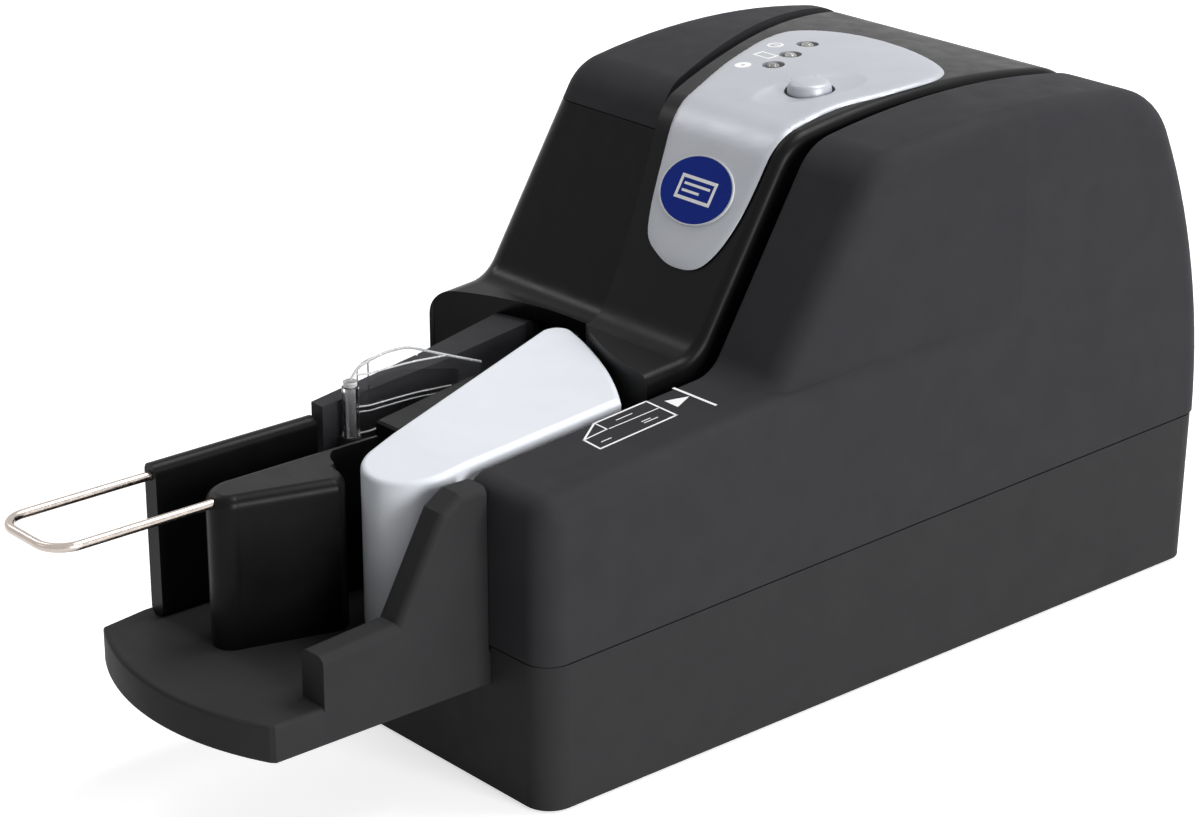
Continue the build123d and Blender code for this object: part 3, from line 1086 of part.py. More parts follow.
with BuildPart() as power_socket:
    with Locations(Location((POWER_X, BACK_Y - POWER_D / 2, PORT_Z), (90, 0, 0))):
        Cylinder(POWER_R - 0.2, POWER_D)
    with Locations(Location((POWER_X, BACK_Y, PORT_Z), (90, 0, 0))):
        Cylinder(POWER_BORE_R, 2 * POWER_BORE_D, mode=Mode.SUBTRACT)
    with Locations(Location((POWER_X, BACK_Y - 1, PORT_Z), (90, 0, 0))):
        Cylinder(0.9, POWER_BORE_D, align=(Align.CENTER, Align.CENTER, Align.MIN))
    with Locations((POWER_X, BACK_Y - POWER_D, PORT_Z - POWER_R + 0.8)):
        Box(7, 5, PORT_Z - POWER_R - FLOOR_Z - WALL + 0.8, align=(Align.CENTER, Align.MIN, Align.MAX))
write(power_socket.part, "power_socket")

with BuildPart() as button_switch:
    with Locations((BUTTON_X, BUTTON_Y, SWITCH_TOP_Z)):
        Box(7, 7, SWITCH_H, align=(Align.CENTER, Align.CENTER, Align.MAX))
    with Locations((BUTTON_X, BUTTON_Y, SWITCH_TOP_Z - SWITCH_H)):
        Box(34, 22, BOARD_T, align=(Align.CENTER, Align.CENTER, Align.MAX))
write(button_switch.part, "button_switch")
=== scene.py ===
import json
import math

import bmesh
import bpy
from mathutils import Matrix, Vector
from mathutils.bvhtree import BVHTree


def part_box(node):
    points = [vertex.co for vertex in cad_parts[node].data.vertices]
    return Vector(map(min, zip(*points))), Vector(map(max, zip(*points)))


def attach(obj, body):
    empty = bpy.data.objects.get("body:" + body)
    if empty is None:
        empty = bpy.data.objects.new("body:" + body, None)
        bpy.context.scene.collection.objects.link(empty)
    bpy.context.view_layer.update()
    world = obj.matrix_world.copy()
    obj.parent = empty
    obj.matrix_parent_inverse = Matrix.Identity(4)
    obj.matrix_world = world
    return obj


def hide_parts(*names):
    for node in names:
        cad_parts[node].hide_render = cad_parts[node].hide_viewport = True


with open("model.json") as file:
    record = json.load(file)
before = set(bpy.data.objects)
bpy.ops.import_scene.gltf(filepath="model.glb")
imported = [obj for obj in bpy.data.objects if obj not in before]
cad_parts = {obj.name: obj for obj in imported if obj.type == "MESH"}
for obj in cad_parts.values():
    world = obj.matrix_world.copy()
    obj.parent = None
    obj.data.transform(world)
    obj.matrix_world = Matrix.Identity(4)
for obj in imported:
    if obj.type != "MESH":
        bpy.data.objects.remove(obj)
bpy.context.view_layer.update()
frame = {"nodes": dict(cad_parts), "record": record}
MM = 0.001
scene = bpy.context.scene

# ---------------------------------------------------------------------------
# materials
# ---------------------------------------------------------------------------


def principled_of(material):
    return material.node_tree.nodes["Principled BSDF"]


def shader(name, **values):
    """New node material whose constant values sit on the shader's own sockets."""
    material = bpy.data.materials.new(name)
    material.use_nodes = True
    for socket, value in values.items():
        principled_of(material).inputs[socket.replace("_", " ")].default_value = value
    return material


def node(material, kind):
    return material.node_tree.nodes.new(kind)


def link(material, source, target):
    material.node_tree.links.new(source, target)


def place(material):
    """Object coordinates, which hold still on a piece as it moves."""
    return node(material, "ShaderNodeTexCoord").outputs["Object"]


def noise(material, scale, detail=3.0, rough=0.5):
    made = node(material, "ShaderNodeTexNoise")
    made.inputs["Scale"].default_value = scale
    made.inputs["Detail"].default_value = detail
    made.inputs["Roughness"].default_value = rough
    link(material, place(material), made.inputs["Vector"])
    return made.outputs["Fac"]


def spread(material, source, low, high):
    """Maps the middle of a pattern to a range of values."""
    made = node(material, "ShaderNodeMapRange")
    for socket, value in (("From Min", 0.3), ("From Max", 0.7), ("To Min", low), ("To Max", high)):
        made.inputs[socket].default_value = value
    link(material, source, made.inputs["Value"])
    return made.outputs["Result"]


def tint(material, source, dark, light):
    """Mixes two close tones by a pattern."""
    ramp = node(material, "ShaderNodeValToRGB")
    for stop, tone, position in zip(ramp.color_ramp.elements, (dark, light), (0.35, 0.65)):
        stop.color = (*tone, 1)
        stop.position = position
    link(material, source, ramp.inputs["Fac"])
    return ramp.outputs["Color"]


def bump(material, source, depth):
    made = node(material, "ShaderNodeBump")
    made.inputs["Distance"].default_value = depth
    made.inputs["Strength"].default_value = 1.0
    link(material, source, made.inputs["Height"])
    return made.outputs["Normal"]


def moulded(name, dark, light, rough, grain_mm, grain_depth, **values):
    """Moulded plastic: close tones, uneven gloss and a spark-eroded grain."""
    material = shader(name, **values)
    body = principled_of(material)
    link(material, tint(material, noise(material, 90, 2), dark, light), body.inputs["Base Color"])
    gloss = spread(material, noise(material, 160, 4), rough - 0.04, rough + 0.05)
    link(material, gloss, body.inputs["Roughness"])
    fine = bump(material, noise(material, 1 / (grain_mm * MM), 2, 0.6), grain_depth * MM)
    link(material, fine, body.inputs["Normal"])
    return material


def metal(name, tone, rough):
    """Bare metal with faint drawing marks."""
    material = shader(name, Metallic=1.0)
    body = principled_of(material)
    low = [c * 0.93 for c in tone]
    link(material, tint(material, noise(material, 300, 3), low, tone), body.inputs["Base Color"])
    gloss = spread(material, noise(material, 700, 3), rough - 0.05, rough + 0.07)
    link(material, gloss, body.inputs["Roughness"])
    link(material, bump(material, noise(material, 2500, 2), 0.01 * MM), body.inputs["Normal"])
    return material


def see_through(name, tone, share, ior, scale, detail, gloss):
    """Clear plastic that lets a share of the light through, with an uneven gloss."""
    material = shader(name, Base_Color=(*tone, 1), Transmission_Weight=share, IOR=ior)
    uneven = spread(material, noise(material, scale, detail), *gloss)
    link(material, uneven, principled_of(material).inputs["Roughness"])
    return material


charcoal = moulded("textured_charcoal", (0.0310, 0.0300, 0.0335), (0.0335, 0.0325, 0.0360), 0.58, 0.45, 0.020,
                   Specular_IOR_Level=0.05)
base_charcoal = moulded("base_charcoal", (0.0300, 0.0300, 0.0315), (0.0320, 0.0320, 0.0335), 0.58, 0.45, 0.020,
                        Specular_IOR_Level=0.05)
satin_black = moulded("satin_black", (0.0042, 0.0042, 0.0046), (0.0052, 0.0052, 0.0056), 0.34, 0.9, 0.006,
                      Specular_IOR_Level=0.09)
gloss_black = moulded("glossy_black", (0.0030, 0.0030, 0.0033), (0.0040, 0.0040, 0.0043), 0.24, 1.2, 0.004,
                      Specular_IOR_Level=0.09)
track_black = moulded("track_black", (0.006, 0.006, 0.0064), (0.008, 0.008, 0.0084), 0.42, 0.8, 0.01,
                      Specular_IOR_Level=0.15)
pusher_pale = moulded("pale_satin", (0.76, 0.79, 0.84), (0.78, 0.81, 0.86), 0.38, 0.8, 0.003)
badge_blue = moulded("badge_blue", (0.0035, 0.022, 0.250), (0.0040, 0.024, 0.265), 0.30, 1.5, 0.002,
                     Specular_IOR_Level=0.08)
lamp_grey = moulded("lamp_collar", (0.06, 0.06, 0.06), (0.08, 0.08, 0.08), 0.35, 0.8, 0.004)
rim_pale = moulded("pale_rim", (0.58, 0.60, 0.62), (0.62, 0.64, 0.66), 0.4, 0.8, 0.003)
print_white = moulded("printed_white", (0.90, 0.90, 0.90), (0.93, 0.93, 0.93), 0.5, 0.5, 0.002)
rubber = moulded("black_rubber", (0.012, 0.012, 0.012), (0.018, 0.018, 0.018), 0.75, 0.5, 0.03)
grey_rubber = moulded("grey_rubber", (0.09, 0.09, 0.09), (0.12, 0.12, 0.12), 0.7, 0.4, 0.03)
acetal = moulded("natural_acetal", (0.66, 0.65, 0.60), (0.72, 0.71, 0.66), 0.4, 0.8, 0.005)
board_green = moulded("solder_mask", (0.010, 0.10, 0.035), (0.014, 0.13, 0.045), 0.3, 0.6, 0.01)
silver = moulded("silver_paint", (0.44, 0.455, 0.495), (0.46, 0.475, 0.515), 0.42, 0.30, 0.004, Metallic=0.25)
steel = metal("turned_steel", (0.55, 0.54, 0.52), 0.3)
zinc = metal("zinc_plate", (0.50, 0.50, 0.49), 0.38)
wire_steel = metal("drawn_wire", (0.50, 0.44, 0.40), 0.22)
brass = metal("turned_brass", (0.60, 0.42, 0.18), 0.3)
head_metal = metal("machined_head", (0.6, 0.6, 0.6), 0.25)
motor_paint = moulded("motor_paint", (0.05, 0.05, 0.055), (0.065, 0.065, 0.07), 0.35, 0.9, 0.01)
clear = see_through("clear_plastic", (0.97, 0.97, 0.98), 1.0, 1.42, 200, 3, (0.02, 0.07))
frosted = see_through("frosted_plastic", (0.80, 0.80, 0.80), 0.9, 1.36, 900, 2, (0.28, 0.42))
# painted highlight: pale, half-clear plastic for the lines that stand for the flap's bright edges and folds
painted_highlight_clear = see_through("painted_highlight_edge", (0.80, 0.81, 0.82), 0.35, 1.42, 900, 2, (0.18, 0.30))
lens_clear = see_through("lens_clear", (0.80, 0.80, 0.76), 0.75, 1.46, 900, 2, (0.06, 0.14))

finish_of = {
    "base_plastic": base_charcoal, "cover_plastic": charcoal, "gloss_black": gloss_black,
    "satin_black": satin_black, "silver_panel": silver, "badge_blue": badge_blue,
    "pusher_white": pusher_pale, "clear_plastic": clear, "lens_clear": lens_clear,
    "wire_steel": wire_steel, "steel": steel, "zinc_steel": zinc, "brass": brass,
    "tyre_rubber": rubber, "idler_rubber": grey_rubber, "belt_rubber": rubber, "foot_rubber": rubber,
    "pulley_plastic": acetal, "track_plastic": track_black, "motor_case": motor_paint,
    "board_green": board_green, "sensor_black": satin_black, "head_metal": head_metal,
    "ink_plastic": gloss_black, "socket_metal": zinc,
}
slot_of = {row["node"]: row["material_slot"] for row in frame["record"]["subparts"]}
for name, piece in frame["nodes"].items():
    piece.data.materials.clear()
    piece.data.materials.append(finish_of[slot_of[name]])
frame["nodes"]["flap_pin"].data.materials[0] = frosted

# ---------------------------------------------------------------------------
# pieces, drawn in millimetres
# ---------------------------------------------------------------------------
FRONT_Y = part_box("base_pan")[0].y * 1000 - 0.1      # covers' front face
FLAT_CREASE = 35                # degrees from which an edge of a print shows sharp
BADGE_CREASE = 40
ROUND_CREASE = 50


def finish_piece(name, form, material, body, stands_for, crease):
    """Makes a closed form in millimetres into a piece that rides on a body."""
    bmesh.ops.scale(form, vec=(MM, MM, MM), verts=form.verts)
    bmesh.ops.remove_doubles(form, verts=form.verts, dist=1e-7)
    bmesh.ops.recalc_face_normals(form, faces=form.faces)
    mesh = bpy.data.meshes.new(name)
    form.to_mesh(mesh)
    form.free()
    mesh.materials.append(material)
    mesh.shade_smooth()
    mesh.set_sharp_from_angle(angle=math.radians(crease))
    piece = bpy.data.objects.new(name, mesh)
    scene.collection.objects.link(piece)
    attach(piece, body)
    if stands_for:
        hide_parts(*stands_for)


def spline_points(points, steps, closed=True):
    """Smooth curve through the points, whose tangents follow the points' spacing."""
    count = len(points)
    curve = []
    for i in range(count if closed else count - 1):
        a, b, c, d = (Vector(points[k % count] if closed else points[min(max(k, 0), count - 1)])
                      for k in (i - 1, i, i + 1, i + 2))
        span, before, after = (c - b).length, (b - a).length, (d - c).length
        leave = (c - a) * span / (span + before)
        arrive = (d - b) * span / (span + after)
        for step in range(steps):
            t = step / steps
            curve.append(b * (2 * t ** 3 - 3 * t ** 2 + 1) + leave * (t ** 3 - 2 * t ** 2 + t)
                         + c * (3 * t ** 2 - 2 * t ** 3) + arrive * (t ** 3 - t ** 2))
    if not closed:
        curve.append(Vector(points[-1]))
    return curve


def loop(form, points):
    """Closed loop of edges through the points."""
    verts = [form.verts.new((*p, 0)) for p in points]
    return [form.edges.new((verts[i - 1], verts[i])) for i in range(len(verts))]


def ring(centre, radius, count=32, stretch=1.0):
    """Points round a circle or an ellipse."""
    turns = (2 * math.pi * i / count for i in range(count))
    return [(centre[0] + radius * math.cos(t), centre[1] + radius * stretch * math.sin(t)) for t in turns]


def rectangle(centre, half_x, half_y):
    """Corners of a rectangle."""
    corners = ((-1, -1), (1, -1), (1, 1), (-1, 1))
    return [(centre[0] + sx * half_x, centre[1] + sy * half_y) for sx, sy in corners]


def bar(start, end, width):
    """Outline of a straight stroke."""
    a, b = Vector(start), Vector(end)
    along = (b - a).normalized() * width / 2
    side = Vector((-along.y, along.x))
    return [tuple(a - along + side), tuple(a - along - side), tuple(b + along - side), tuple(b + along + side)]


def flat_shape(*loops):
    """Flat face inside the first loop, with the others as holes or as islands."""
    form = bmesh.new()
    edges = [edge for points in loops for edge in loop(form, points)]
    bmesh.ops.triangle_fill(form, use_beauty=True, use_dissolve=False, edges=edges, normal=(0, 0, 1))
    return form


def cut_grid(form, step):
    """Cuts a flat face into a square grid, so that it can be bent."""
    spans = [(min(v.co[k] for v in form.verts), max(v.co[k] for v in form.verts)) for k in (0, 1)]
    for (low, high), axis in zip(spans, ((1, 0, 0), (0, 1, 0))):
        at = low + step
        while at < high:
            geom = form.verts[:] + form.edges[:] + form.faces[:]
            bmesh.ops.bisect_plane(form, geom=geom, dist=1e-5, plane_co=Vector(axis) * at, plane_no=axis)
            at += step


def thicken(form, under):
    """Closes a bent sheet: the underside is a copy whose heights come from the function under."""
    made = bmesh.ops.extrude_face_region(form, geom=form.faces[:])
    for vert in (g for g in made["geom"] if isinstance(g, bmesh.types.BMVert)):
        vert.co.z = under(vert.co)


SAMPLE_STEP = 0.5


def surface_of(node_name, xs):
    """Height of a node's upper face along Y, sampled by rays from above at the places across."""
    mesh = frame["nodes"][node_name].data
    tree = BVHTree.FromPolygons([v.co for v in mesh.vertices], [p.vertices for p in mesh.polygons])
    low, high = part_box(node_name)
    heights = {}
    for k in range(int(low.y * 1000 / SAMPLE_STEP), int(high.y * 1000 / SAMPLE_STEP) + 1):
        starts = [Vector((x * MM, k * SAMPLE_STEP * MM, 1)) for x in xs]
        hits = [tree.ray_cast(start, Vector((0, 0, -1)))[0] for start in starts]
        found = [hit.z for hit in hits if hit is not None]
        if found:
            heights[k] = max(found) * 1000

    def height(y):
        at = min(max(y / SAMPLE_STEP, min(heights)), max(heights))
        k = min(int(math.floor(at)), max(heights) - 1)
        return heights[k] + (heights[k + 1] - heights[k]) * (at - k)

    return height


panel_top = surface_of("control_panel", range(-30, 31, 3))
PLATE_T = 0.9
PLATE_EDGE_T = 0.12             # thickness left where the plate's rounded edge ends
PLATE_GRID = 1.1
PANEL_OUTLINE = (
    (-31.6, 167.7), (-27.5, 177.5), (-17, 183.6), (-3, 184), (12.2, 179.9), (24.5, 173), (29.4, 164),
    (29.8, 146), (27.2, 130), (28.6, 110), (28.6, 98.6), (26.5, 92.4), (22, 88.3), (14.5, 87.1),
    (6.5, 87.9), (-1, 90.9), (-7.2, 103), (-13.5, 118.5), (-24, 143.5))
OUTLINE_STEPS = 7
outline = [p.to_2d() for p in spline_points([(x, y + FRONT_Y, 0) for x, y in PANEL_OUTLINE], OUTLINE_STEPS)]
BUTTON = (11.5, FRONT_Y + 136)
LEDS = [(-9.2, FRONT_Y + 142.8), (-12.6, FRONT_Y + 152.4), (-16.9, FRONT_Y + 163.0)]
BUTTON_HOLE_R = 6.7
BUTTON_R = 5.95
STEM_R = 2.5
STEM_H = 5.0
CUP_R = 3.1
ROUND_W = 2.6                   # width of the panel's rounded edge
DISH_HALF = (8.2, 16.2)
DISH_TILT = math.radians(-14)
DISH_DEPTH = 0.85
DISH_SLOPE = 0.42               # share of the dish taken by its sloping side
DISH_CURVE = 0.6                # below 1, the slope is steeper at the dish's rim


def to_edge(point):
    """Distance from a point to the panel's outline."""
    best = 1e9
    for i, b in enumerate(outline):
        a = outline[i - 1]
        along = b - a
        t = min(max((point - a).dot(along) / along.length_squared, 0), 1)
        best = min(best, (point - a - along * t).length)
    return best


def dish_depth(x, y):
    """Depth of the finger dish round the button."""
    dx, dy = x - BUTTON[0], y - BUTTON[1]
    across = dx * math.cos(DISH_TILT) + dy * math.sin(DISH_TILT)
    along = dy * math.cos(DISH_TILT) - dx * math.sin(DISH_TILT)
    reach = math.hypot(across / DISH_HALF[0], along / DISH_HALF[1])
    if reach >= 1:
        return 0.0
    return DISH_DEPTH * min((1.0 - reach) / DISH_SLOPE, 1) ** DISH_CURVE


def silver_panel():
    """Silver control panel: rounded edge, finger dish and round openings."""
    form = flat_shape(outline, ring(BUTTON, BUTTON_HOLE_R, 48), *[ring(led, CUP_R, 28) for led in LEDS])
    cut_grid(form, PLATE_GRID)
    for vert in form.verts:
        x, y = vert.co.x, vert.co.y
        near = min(to_edge(vert.co.to_2d()) / ROUND_W, 1)
        drop = (PLATE_T - PLATE_EDGE_T) * (1 - math.sqrt(max(1 - (1 - near) ** 2, 0)))
        vert.co.z = panel_top(y) - drop - dish_depth(x, y)
    thicken(form, lambda co: panel_top(co.y) - PLATE_T)
    finish_piece("silver_control_panel", form, silver, "chassis", ["control_panel"], ROUND_CREASE)


def turned(name, profile, at, material, body, stands_for, steps):
    """Turned piece: the profile, radius and height, spun round an upright axis."""
    form = bmesh.new()
    verts = [form.verts.new((radius, 0, z)) for radius, z in profile]
    edges = [form.edges.new(pair) for pair in zip(verts, verts[1:])]
    bmesh.ops.spin(form, geom=verts + edges, cent=(0, 0, 0), axis=(0, 0, 1), dvec=(0, 0, 0),
                   angle=2 * math.pi, steps=steps, use_merge=True, use_duplicate=False)
    bmesh.ops.remove_doubles(form, verts=form.verts, dist=1e-4)
    bmesh.ops.translate(form, vec=(*at, 0), verts=form.verts)
    finish_piece(name, form, material, body, stands_for, ROUND_CREASE)


def silver_button():
    """Power button: a squat silver knob with a crowned top and a soft edge."""
    foot, top = (corner.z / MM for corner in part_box("power_button"))
    crown = ((0, 0), (2.6, 0.03), (4.2, 0.13), (5.0, 0.35), (5.45, 0.75), (5.7, 1.4), (BUTTON_R, 3.0))
    stem = [(BUTTON_R, foot + STEM_H), (STEM_R, foot + STEM_H), (STEM_R, foot), (0, foot)]
    profile = [(radius, top - drop) for radius, drop in crown] + stem
    turned("silver_button", profile, BUTTON, silver, "power_button", ["power_button"], 64)


def status_lamps():
    """Three clear domes, each standing in a dark well of the silver panel."""
    dome = ((0, 1.25), (0.7, 1.18), (1.3, 0.95), (1.75, 0.55), (1.95, 0), (1.95, -0.6), (0, -0.6))
    collar = ((2.1, 0), (2.1, 0.35), (2.45, 0.42), (2.95, 0.12), (2.95, 0), (2.1, 0))
    for number, spot in enumerate(LEDS, start=1):
        floor_z = panel_top(spot[1]) - PLATE_T + 0.02
        dome_here, collar_here = ([(radius, floor_z + z) for radius, z in shape] for shape in (dome, collar))
        stands_for = ["status_lenses"] if number == 1 else ()
        turned(f"status_lens_{number}", dome_here, spot, lens_clear, "chassis", stands_for, 28)
        turned(f"lens_collar_{number}", collar_here, spot, lamp_grey, "chassis", (), 28)


PRINT_LIFT = 0.035              # how far a print stands out of its surface and reaches into it
STROKE = 0.55


def printed(name, loops, height, body):
    """Thin print that lies on a surface, whose height is a function of y."""
    form = flat_shape(*loops)
    for vert in form.verts:
        vert.co.z = height(vert.co.y) + PRINT_LIFT
    thicken(form, lambda co: height(co.y) - PRINT_LIFT)
    finish_piece(name, form, print_white, body, (), FLAT_CREASE)


def panel_prints():
    """Generic marks beside the lamps: a dial, a sheet and a filled disc."""
    dial = (-21.9, FRONT_Y + 155.7)
    sheet = (-16.9, FRONT_Y + 147.2)
    spot = (-15.3, FRONT_Y + 137.4)
    across, along = 3.1, 1.9
    marks = {
        "dial_mark": [ring(dial, 2.1, 32, 1.15), ring(dial, 2.1 - STROKE, 32, 1.15)],
        "dial_hand": [bar(dial, (dial[0] + 1.0, dial[1] + 0.6), STROKE)],
        "sheet_mark": [rectangle(sheet, across, along), rectangle(sheet, across - STROKE, along - STROKE)],
        "disc_mark": [ring(spot, 2.2, 32, 1.05), ring(spot, 0.6, 16)],
    }
    for name, loops in marks.items():
        printed(name, loops, panel_top, "chassis")


def ledge_prints():
    """Document guide on the right cover's ledge: a sheet with a folded end, a stop line and an arrow."""
    ledge_top = surface_of("right_cover", (44, 47, 50))
    sheet = ((37.5, 56.1), (37.5, 39.2), (42.9, 31.2), (49.6, 30.6), (49.2, 55.6))
    fold = ((42.9, 31.2), (42.4, 39.0), (37.5, 39.2))
    middle_line = ((42.6, 39.6), (42.8, 55.2))
    stop_line = ((37.0, 65.9), (51.9, 65.9))
    arrow = ((40.8, 59.2), (45.9, 59.0), (43.4, 65.1))
    text_lines = ((46.9, 33.4, 3.0), (46.6, 47.5, 4.2), (45.6, 47.5, 2.6), (40.2, 44.0, 5.0))

    def on_ledge(points):
        return [(x, y + FRONT_Y) for x, y in points]

    corners = on_ledge(sheet)
    strokes = [bar(a, b, STROKE) for a, b in zip(corners, corners[1:] + corners[:1])]
    folded = on_ledge(fold)
    strokes += [bar(a, b, 0.4) for a, b in zip(folded, folded[1:])]
    strokes.append(bar(*on_ledge(middle_line), 0.3))
    strokes += [bar((x, FRONT_Y + y), (x, FRONT_Y + y + run), 0.3) for x, y, run in text_lines]
    strokes.append(bar(*on_ledge(stop_line), 0.8))
    for number, stroke_loop in enumerate(strokes, start=1):
        printed(f"ledge_line_{number}", [stroke_loop], ledge_top, "right_cover")
    printed("ledge_arrow", [on_ledge(arrow)], ledge_top, "right_cover")


BADGE = (10.5, FRONT_Y + 97.36, 125.17)
BADGE_HALF = (13.1, 9.4)
BADGE_SLOPE = math.radians(58.5)
BADGE_SEAT = -0.02              # badge's back, a little into the panel
BADGE_FACE = 0.5                # badge's front above the panel
BADGE_RIM = 0.955               # share of the badge inside its pale rim


def badge_layer(name, loops, low, high, material, stands_for=(), soft=0.0):
    """Flat layer of the badge between two heights, stood up on the panel's slope."""
    form = flat_shape(*loops)
    for vert in form.verts:
        vert.co.z = high
    thicken(form, lambda co: low)
    if soft:
        bmesh.ops.recalc_face_normals(form, faces=form.faces)
        sharp = [edge for edge in form.edges if edge.is_manifold and edge.calc_face_angle(0) > 1]
        rim = [edge for edge in sharp if min(vert.co.z for vert in edge.verts) > low + 1e-4]
        bmesh.ops.bevel(form, geom=rim, offset=soft, offset_type="OFFSET", segments=2, profile=0.5,
                        affect="EDGES", material=-1)
    bmesh.ops.rotate(form, cent=(0, 0, 0), matrix=Matrix.Rotation(BADGE_SLOPE, 3, "X"), verts=form.verts)
    bmesh.ops.translate(form, vec=BADGE, verts=form.verts)
    finish_piece(name, form, material, "chassis", stands_for, BADGE_CREASE)


def oval(scale):
    """Ellipse of the badge's shape."""
    return ring((0, 0), BADGE_HALF[0] * scale, 72, BADGE_HALF[1] / BADGE_HALF[0])


def blue_badge():
    """Blue badge with a thin pale rim and a plain sheet mark."""
    badge_layer("badge_rim", [oval(1.0), oval(BADGE_RIM)], BADGE_SEAT, BADGE_FACE, rim_pale, soft=0.06)
    badge_layer("badge_face", [oval(BADGE_RIM)], BADGE_SEAT, BADGE_FACE - 0.03, badge_blue,
                ["badge_disc"])
    wide, high, stroke = 6.6, 3.3, 0.9
    sheet = [rectangle((0, 0), wide, high), rectangle((0, 0), wide - stroke, high - stroke)]
    lines = [[bar((-4.4, y), (end, y), 0.7)] for y, end in ((1.0, 4.4), (-0.9, 1.2))]
    for number, loops in enumerate([sheet, *lines], start=1):
        badge_layer(f"badge_mark_{number}", loops, BADGE_FACE - 0.04, BADGE_FACE + 0.04, print_white)


FLAP_PLAN = ((7.0, -18.2), (12.0, -17.4), (30.0, -20.8), (53.0, -23.4))     # y and x along the leaf
FLAP_HALF_T = 0.4
FLAP_CREST = (
    (7.2, 88.0), (10.0, 91.0), (16.0, 92.1), (22.0, 91.9), (27.0, 91.0), (36.0, 87.1), (44.6, 83.4), (52.9, 79.9))
FLAP_FOLDS = (                  # points of each fold line, and its radius
    (((8.6, 88.9), (24.0, 87.4), (39.9, 85.3)), 0.26),
    (((8.3, 80.4), (25.0, 78.7), (41.7, 76.6)), 0.2),
    (((8.3, 79.0), (25.0, 77.4), (40.0, 75.4)), 0.16),
    (((7.5, 73.2), (16.0, 73.2), (30.0, 73.2)), 0.22))


def flap_x(y):
    """Middle of the flap's leaf at a distance along it."""
    for (y0, x0), (y1, x1) in zip(FLAP_PLAN, FLAP_PLAN[1:]):
        if y <= y1:
            return x0 + (x1 - x0) * (y - y0) / (y1 - y0)
    return FLAP_PLAN[-1][1]


def flap_line(name, line, proud, radius):
    """Thin round line on the flap's leaf, given as distances along it and heights, in pale half-clear plastic: a
    painted highlight.
    """
    points = spline_points([(y, z, 0) for y, z in line], 10, closed=False)
    curve = bpy.data.curves.new(name, "CURVE")
    curve.dimensions = "3D"
    curve.bevel_depth = radius * MM
    curve.bevel_resolution = 3
    curve.use_fill_caps = True
    stroke = curve.splines.new("POLY")
    stroke.points.add(len(points) - 1)
    for target, p in zip(stroke.points, points):
        target.co = (*(Vector((flap_x(p.x) + proud, FRONT_Y + p.x, p.y)) * MM), 1)
    holder = bpy.data.objects.new(name + "_path", curve)
    mesh = bpy.data.meshes.new_from_object(holder)
    form = bmesh.new()
    form.from_mesh(mesh)
    bmesh.ops.scale(form, vec=(1 / MM,) * 3, verts=form.verts)
    bpy.data.objects.remove(holder)
    bpy.data.meshes.remove(mesh)
    finish_piece(name, form, painted_highlight_clear, "exit_flap", (), ROUND_CREASE)


def flap_lines():
    """Painted highlights: pale lines along the clear exit flap's crest and folds."""
    flap_line("flap_crest", FLAP_CREST, 0, FLAP_HALF_T * 0.9)
    for number, (line, radius) in enumerate(FLAP_FOLDS, start=1):
        flap_line(f"flap_fold_{number}", line, FLAP_HALF_T, radius)


silver_panel()
silver_button()
status_lamps()
panel_prints()
ledge_prints()
blue_badge()
flap_lines()

# ---------------------------------------------------------------------------
# floor, light and camera, in metres
# ---------------------------------------------------------------------------
FLOOR_HALF = 6.0
FLOOR_GLOW = 0.66
WORLD_FILL = 0.14               # strength of the light that the surroundings give
AIM = (0.0, 0.0, 0.07)
SOFTBOXES = (                   # name, place, size and power
    ("top_light", (0.25, 0.7, 1.5), (1.1, 0.6), 19),
    ("right_light", (1.7, 0.1, 0.55), (0.7, 0.8), 25),
    ("left_light", (-1.3, -0.2, 1.3), (0.3, 1.0), 5),
    ("front_light", (-0.7, -1.6, 1.0), (0.8, 0.6), 1.0))
AZIMUTH, ELEVATION = 49.0, 21.4
EYE = (0.5907, -0.51345, 0.3751)
FOCUS_PX, WIDE_PX = 3235.0, 1200.0
SENSOR_MM = 36.0


def seen_directly(tree):
    """1 for rays from the camera, through clear pieces and off gloss, and 0 for the others."""
    path = tree.nodes.new("ShaderNodeLightPath")
    seen = path.outputs["Is Camera Ray"]
    for ray in ("Is Transmission Ray", "Is Glossy Ray"):
        either = tree.nodes.new("ShaderNodeMath")
        either.operation = "MAXIMUM"
        tree.links.new(seen, either.inputs[0])
        tree.links.new(path.outputs[ray], either.inputs[1])
        seen = either.outputs[0]
    return seen


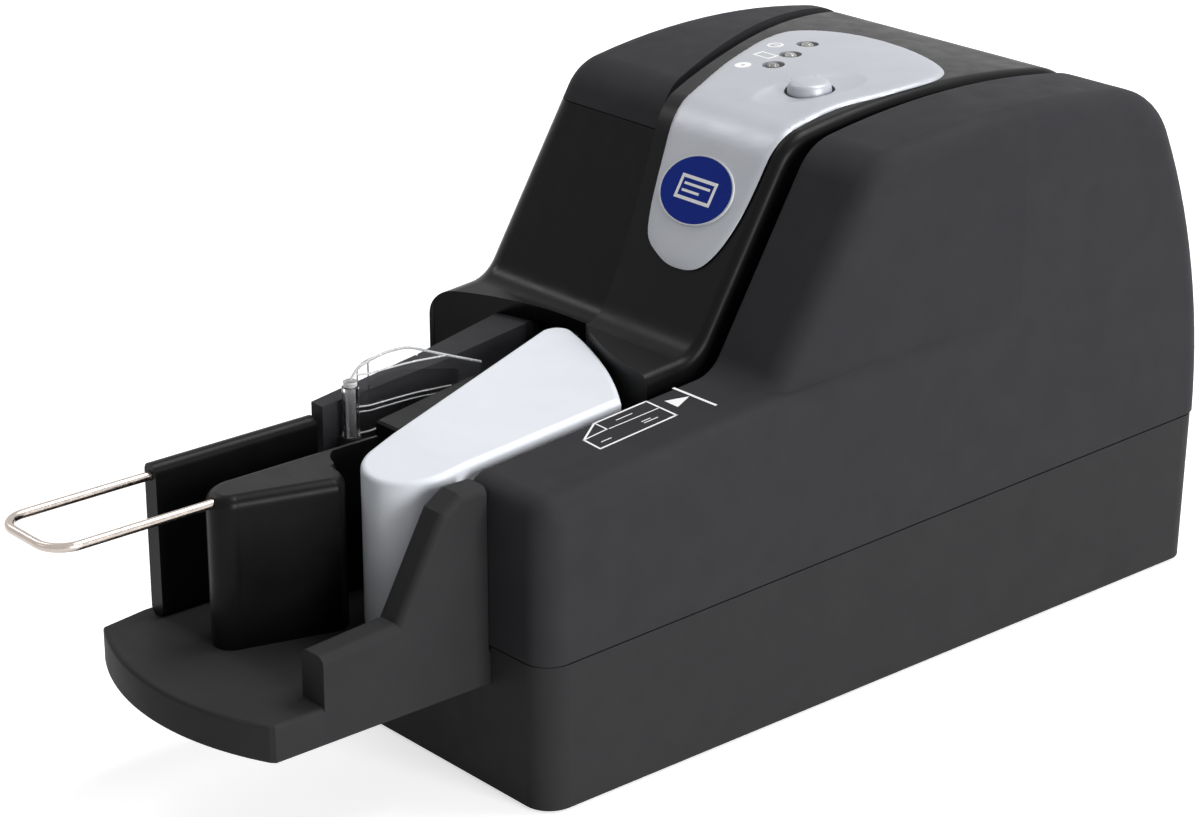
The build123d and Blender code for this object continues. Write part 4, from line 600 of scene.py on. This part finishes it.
def pale_floor():
    """Floor that takes shadow, but shows white to the camera and in reflections."""
    paint = shader("floor_paint", Base_Color=(0.8, 0.8, 0.8, 1), Roughness=0.9, Specular_IOR_Level=0.0,
                   Emission_Color=(1, 1, 1, 1))
    glow = node(paint, "ShaderNodeMath")
    glow.operation = "MULTIPLY"
    glow.inputs[1].default_value = FLOOR_GLOW
    link(paint, seen_directly(paint.node_tree), glow.inputs[0])
    link(paint, glow.outputs[0], principled_of(paint).inputs["Emission Strength"])
    form = bmesh.new()
    bmesh.ops.create_grid(form, x_segments=1, y_segments=1, size=FLOOR_HALF)
    mesh = bpy.data.meshes.new("floor")
    form.to_mesh(mesh)
    form.free()
    mesh.materials.append(paint)
    floor = bpy.data.objects.new("floor", mesh)
    scene.collection.objects.link(floor)


def white_surroundings():
    """White to look at, and a faint even fill light."""
    world = bpy.data.worlds.new("studio")
    scene.world = world
    world.use_nodes = True
    tree = world.node_tree
    level = tree.nodes.new("ShaderNodeMapRange")
    level.inputs["To Min"].default_value = WORLD_FILL
    level.inputs["To Max"].default_value = 1.0
    tree.links.new(seen_directly(tree), level.inputs["Value"])
    backdrop = tree.nodes["Background"]
    backdrop.inputs["Color"].default_value = (1, 1, 1, 1)
    tree.links.new(level.outputs["Result"], backdrop.inputs["Strength"])


def softbox(name, at, size, power):
    """Rectangular studio light."""
    light = bpy.data.lights.new(name, "AREA")
    light.shape = "RECTANGLE"
    light.size, light.size_y = size
    light.energy = power
    lamp = bpy.data.objects.new(name, light)
    lamp.location = at
    lamp.rotation_euler = (Vector(AIM) - Vector(at)).to_track_quat("-Z", "Y").to_euler()
    scene.collection.objects.link(lamp)


def photo_camera():
    """Camera fitted to the photograph's straight edges."""
    eye = bpy.data.cameras.new("camera")
    eye.sensor_width = SENSOR_MM
    eye.lens = FOCUS_PX / WIDE_PX * SENSOR_MM
    eye.clip_start, eye.clip_end = 0.01, 50
    camera = bpy.data.objects.new("camera", eye)
    camera.location = EYE
    camera.rotation_euler = (math.radians(90 - ELEVATION), 0, math.radians(AZIMUTH))
    scene.collection.objects.link(camera)
    scene.camera = camera


pale_floor()
white_surroundings()
for box in SOFTBOXES:
    softbox(*box)
photo_camera()
scene.view_settings.view_transform = "Standard"
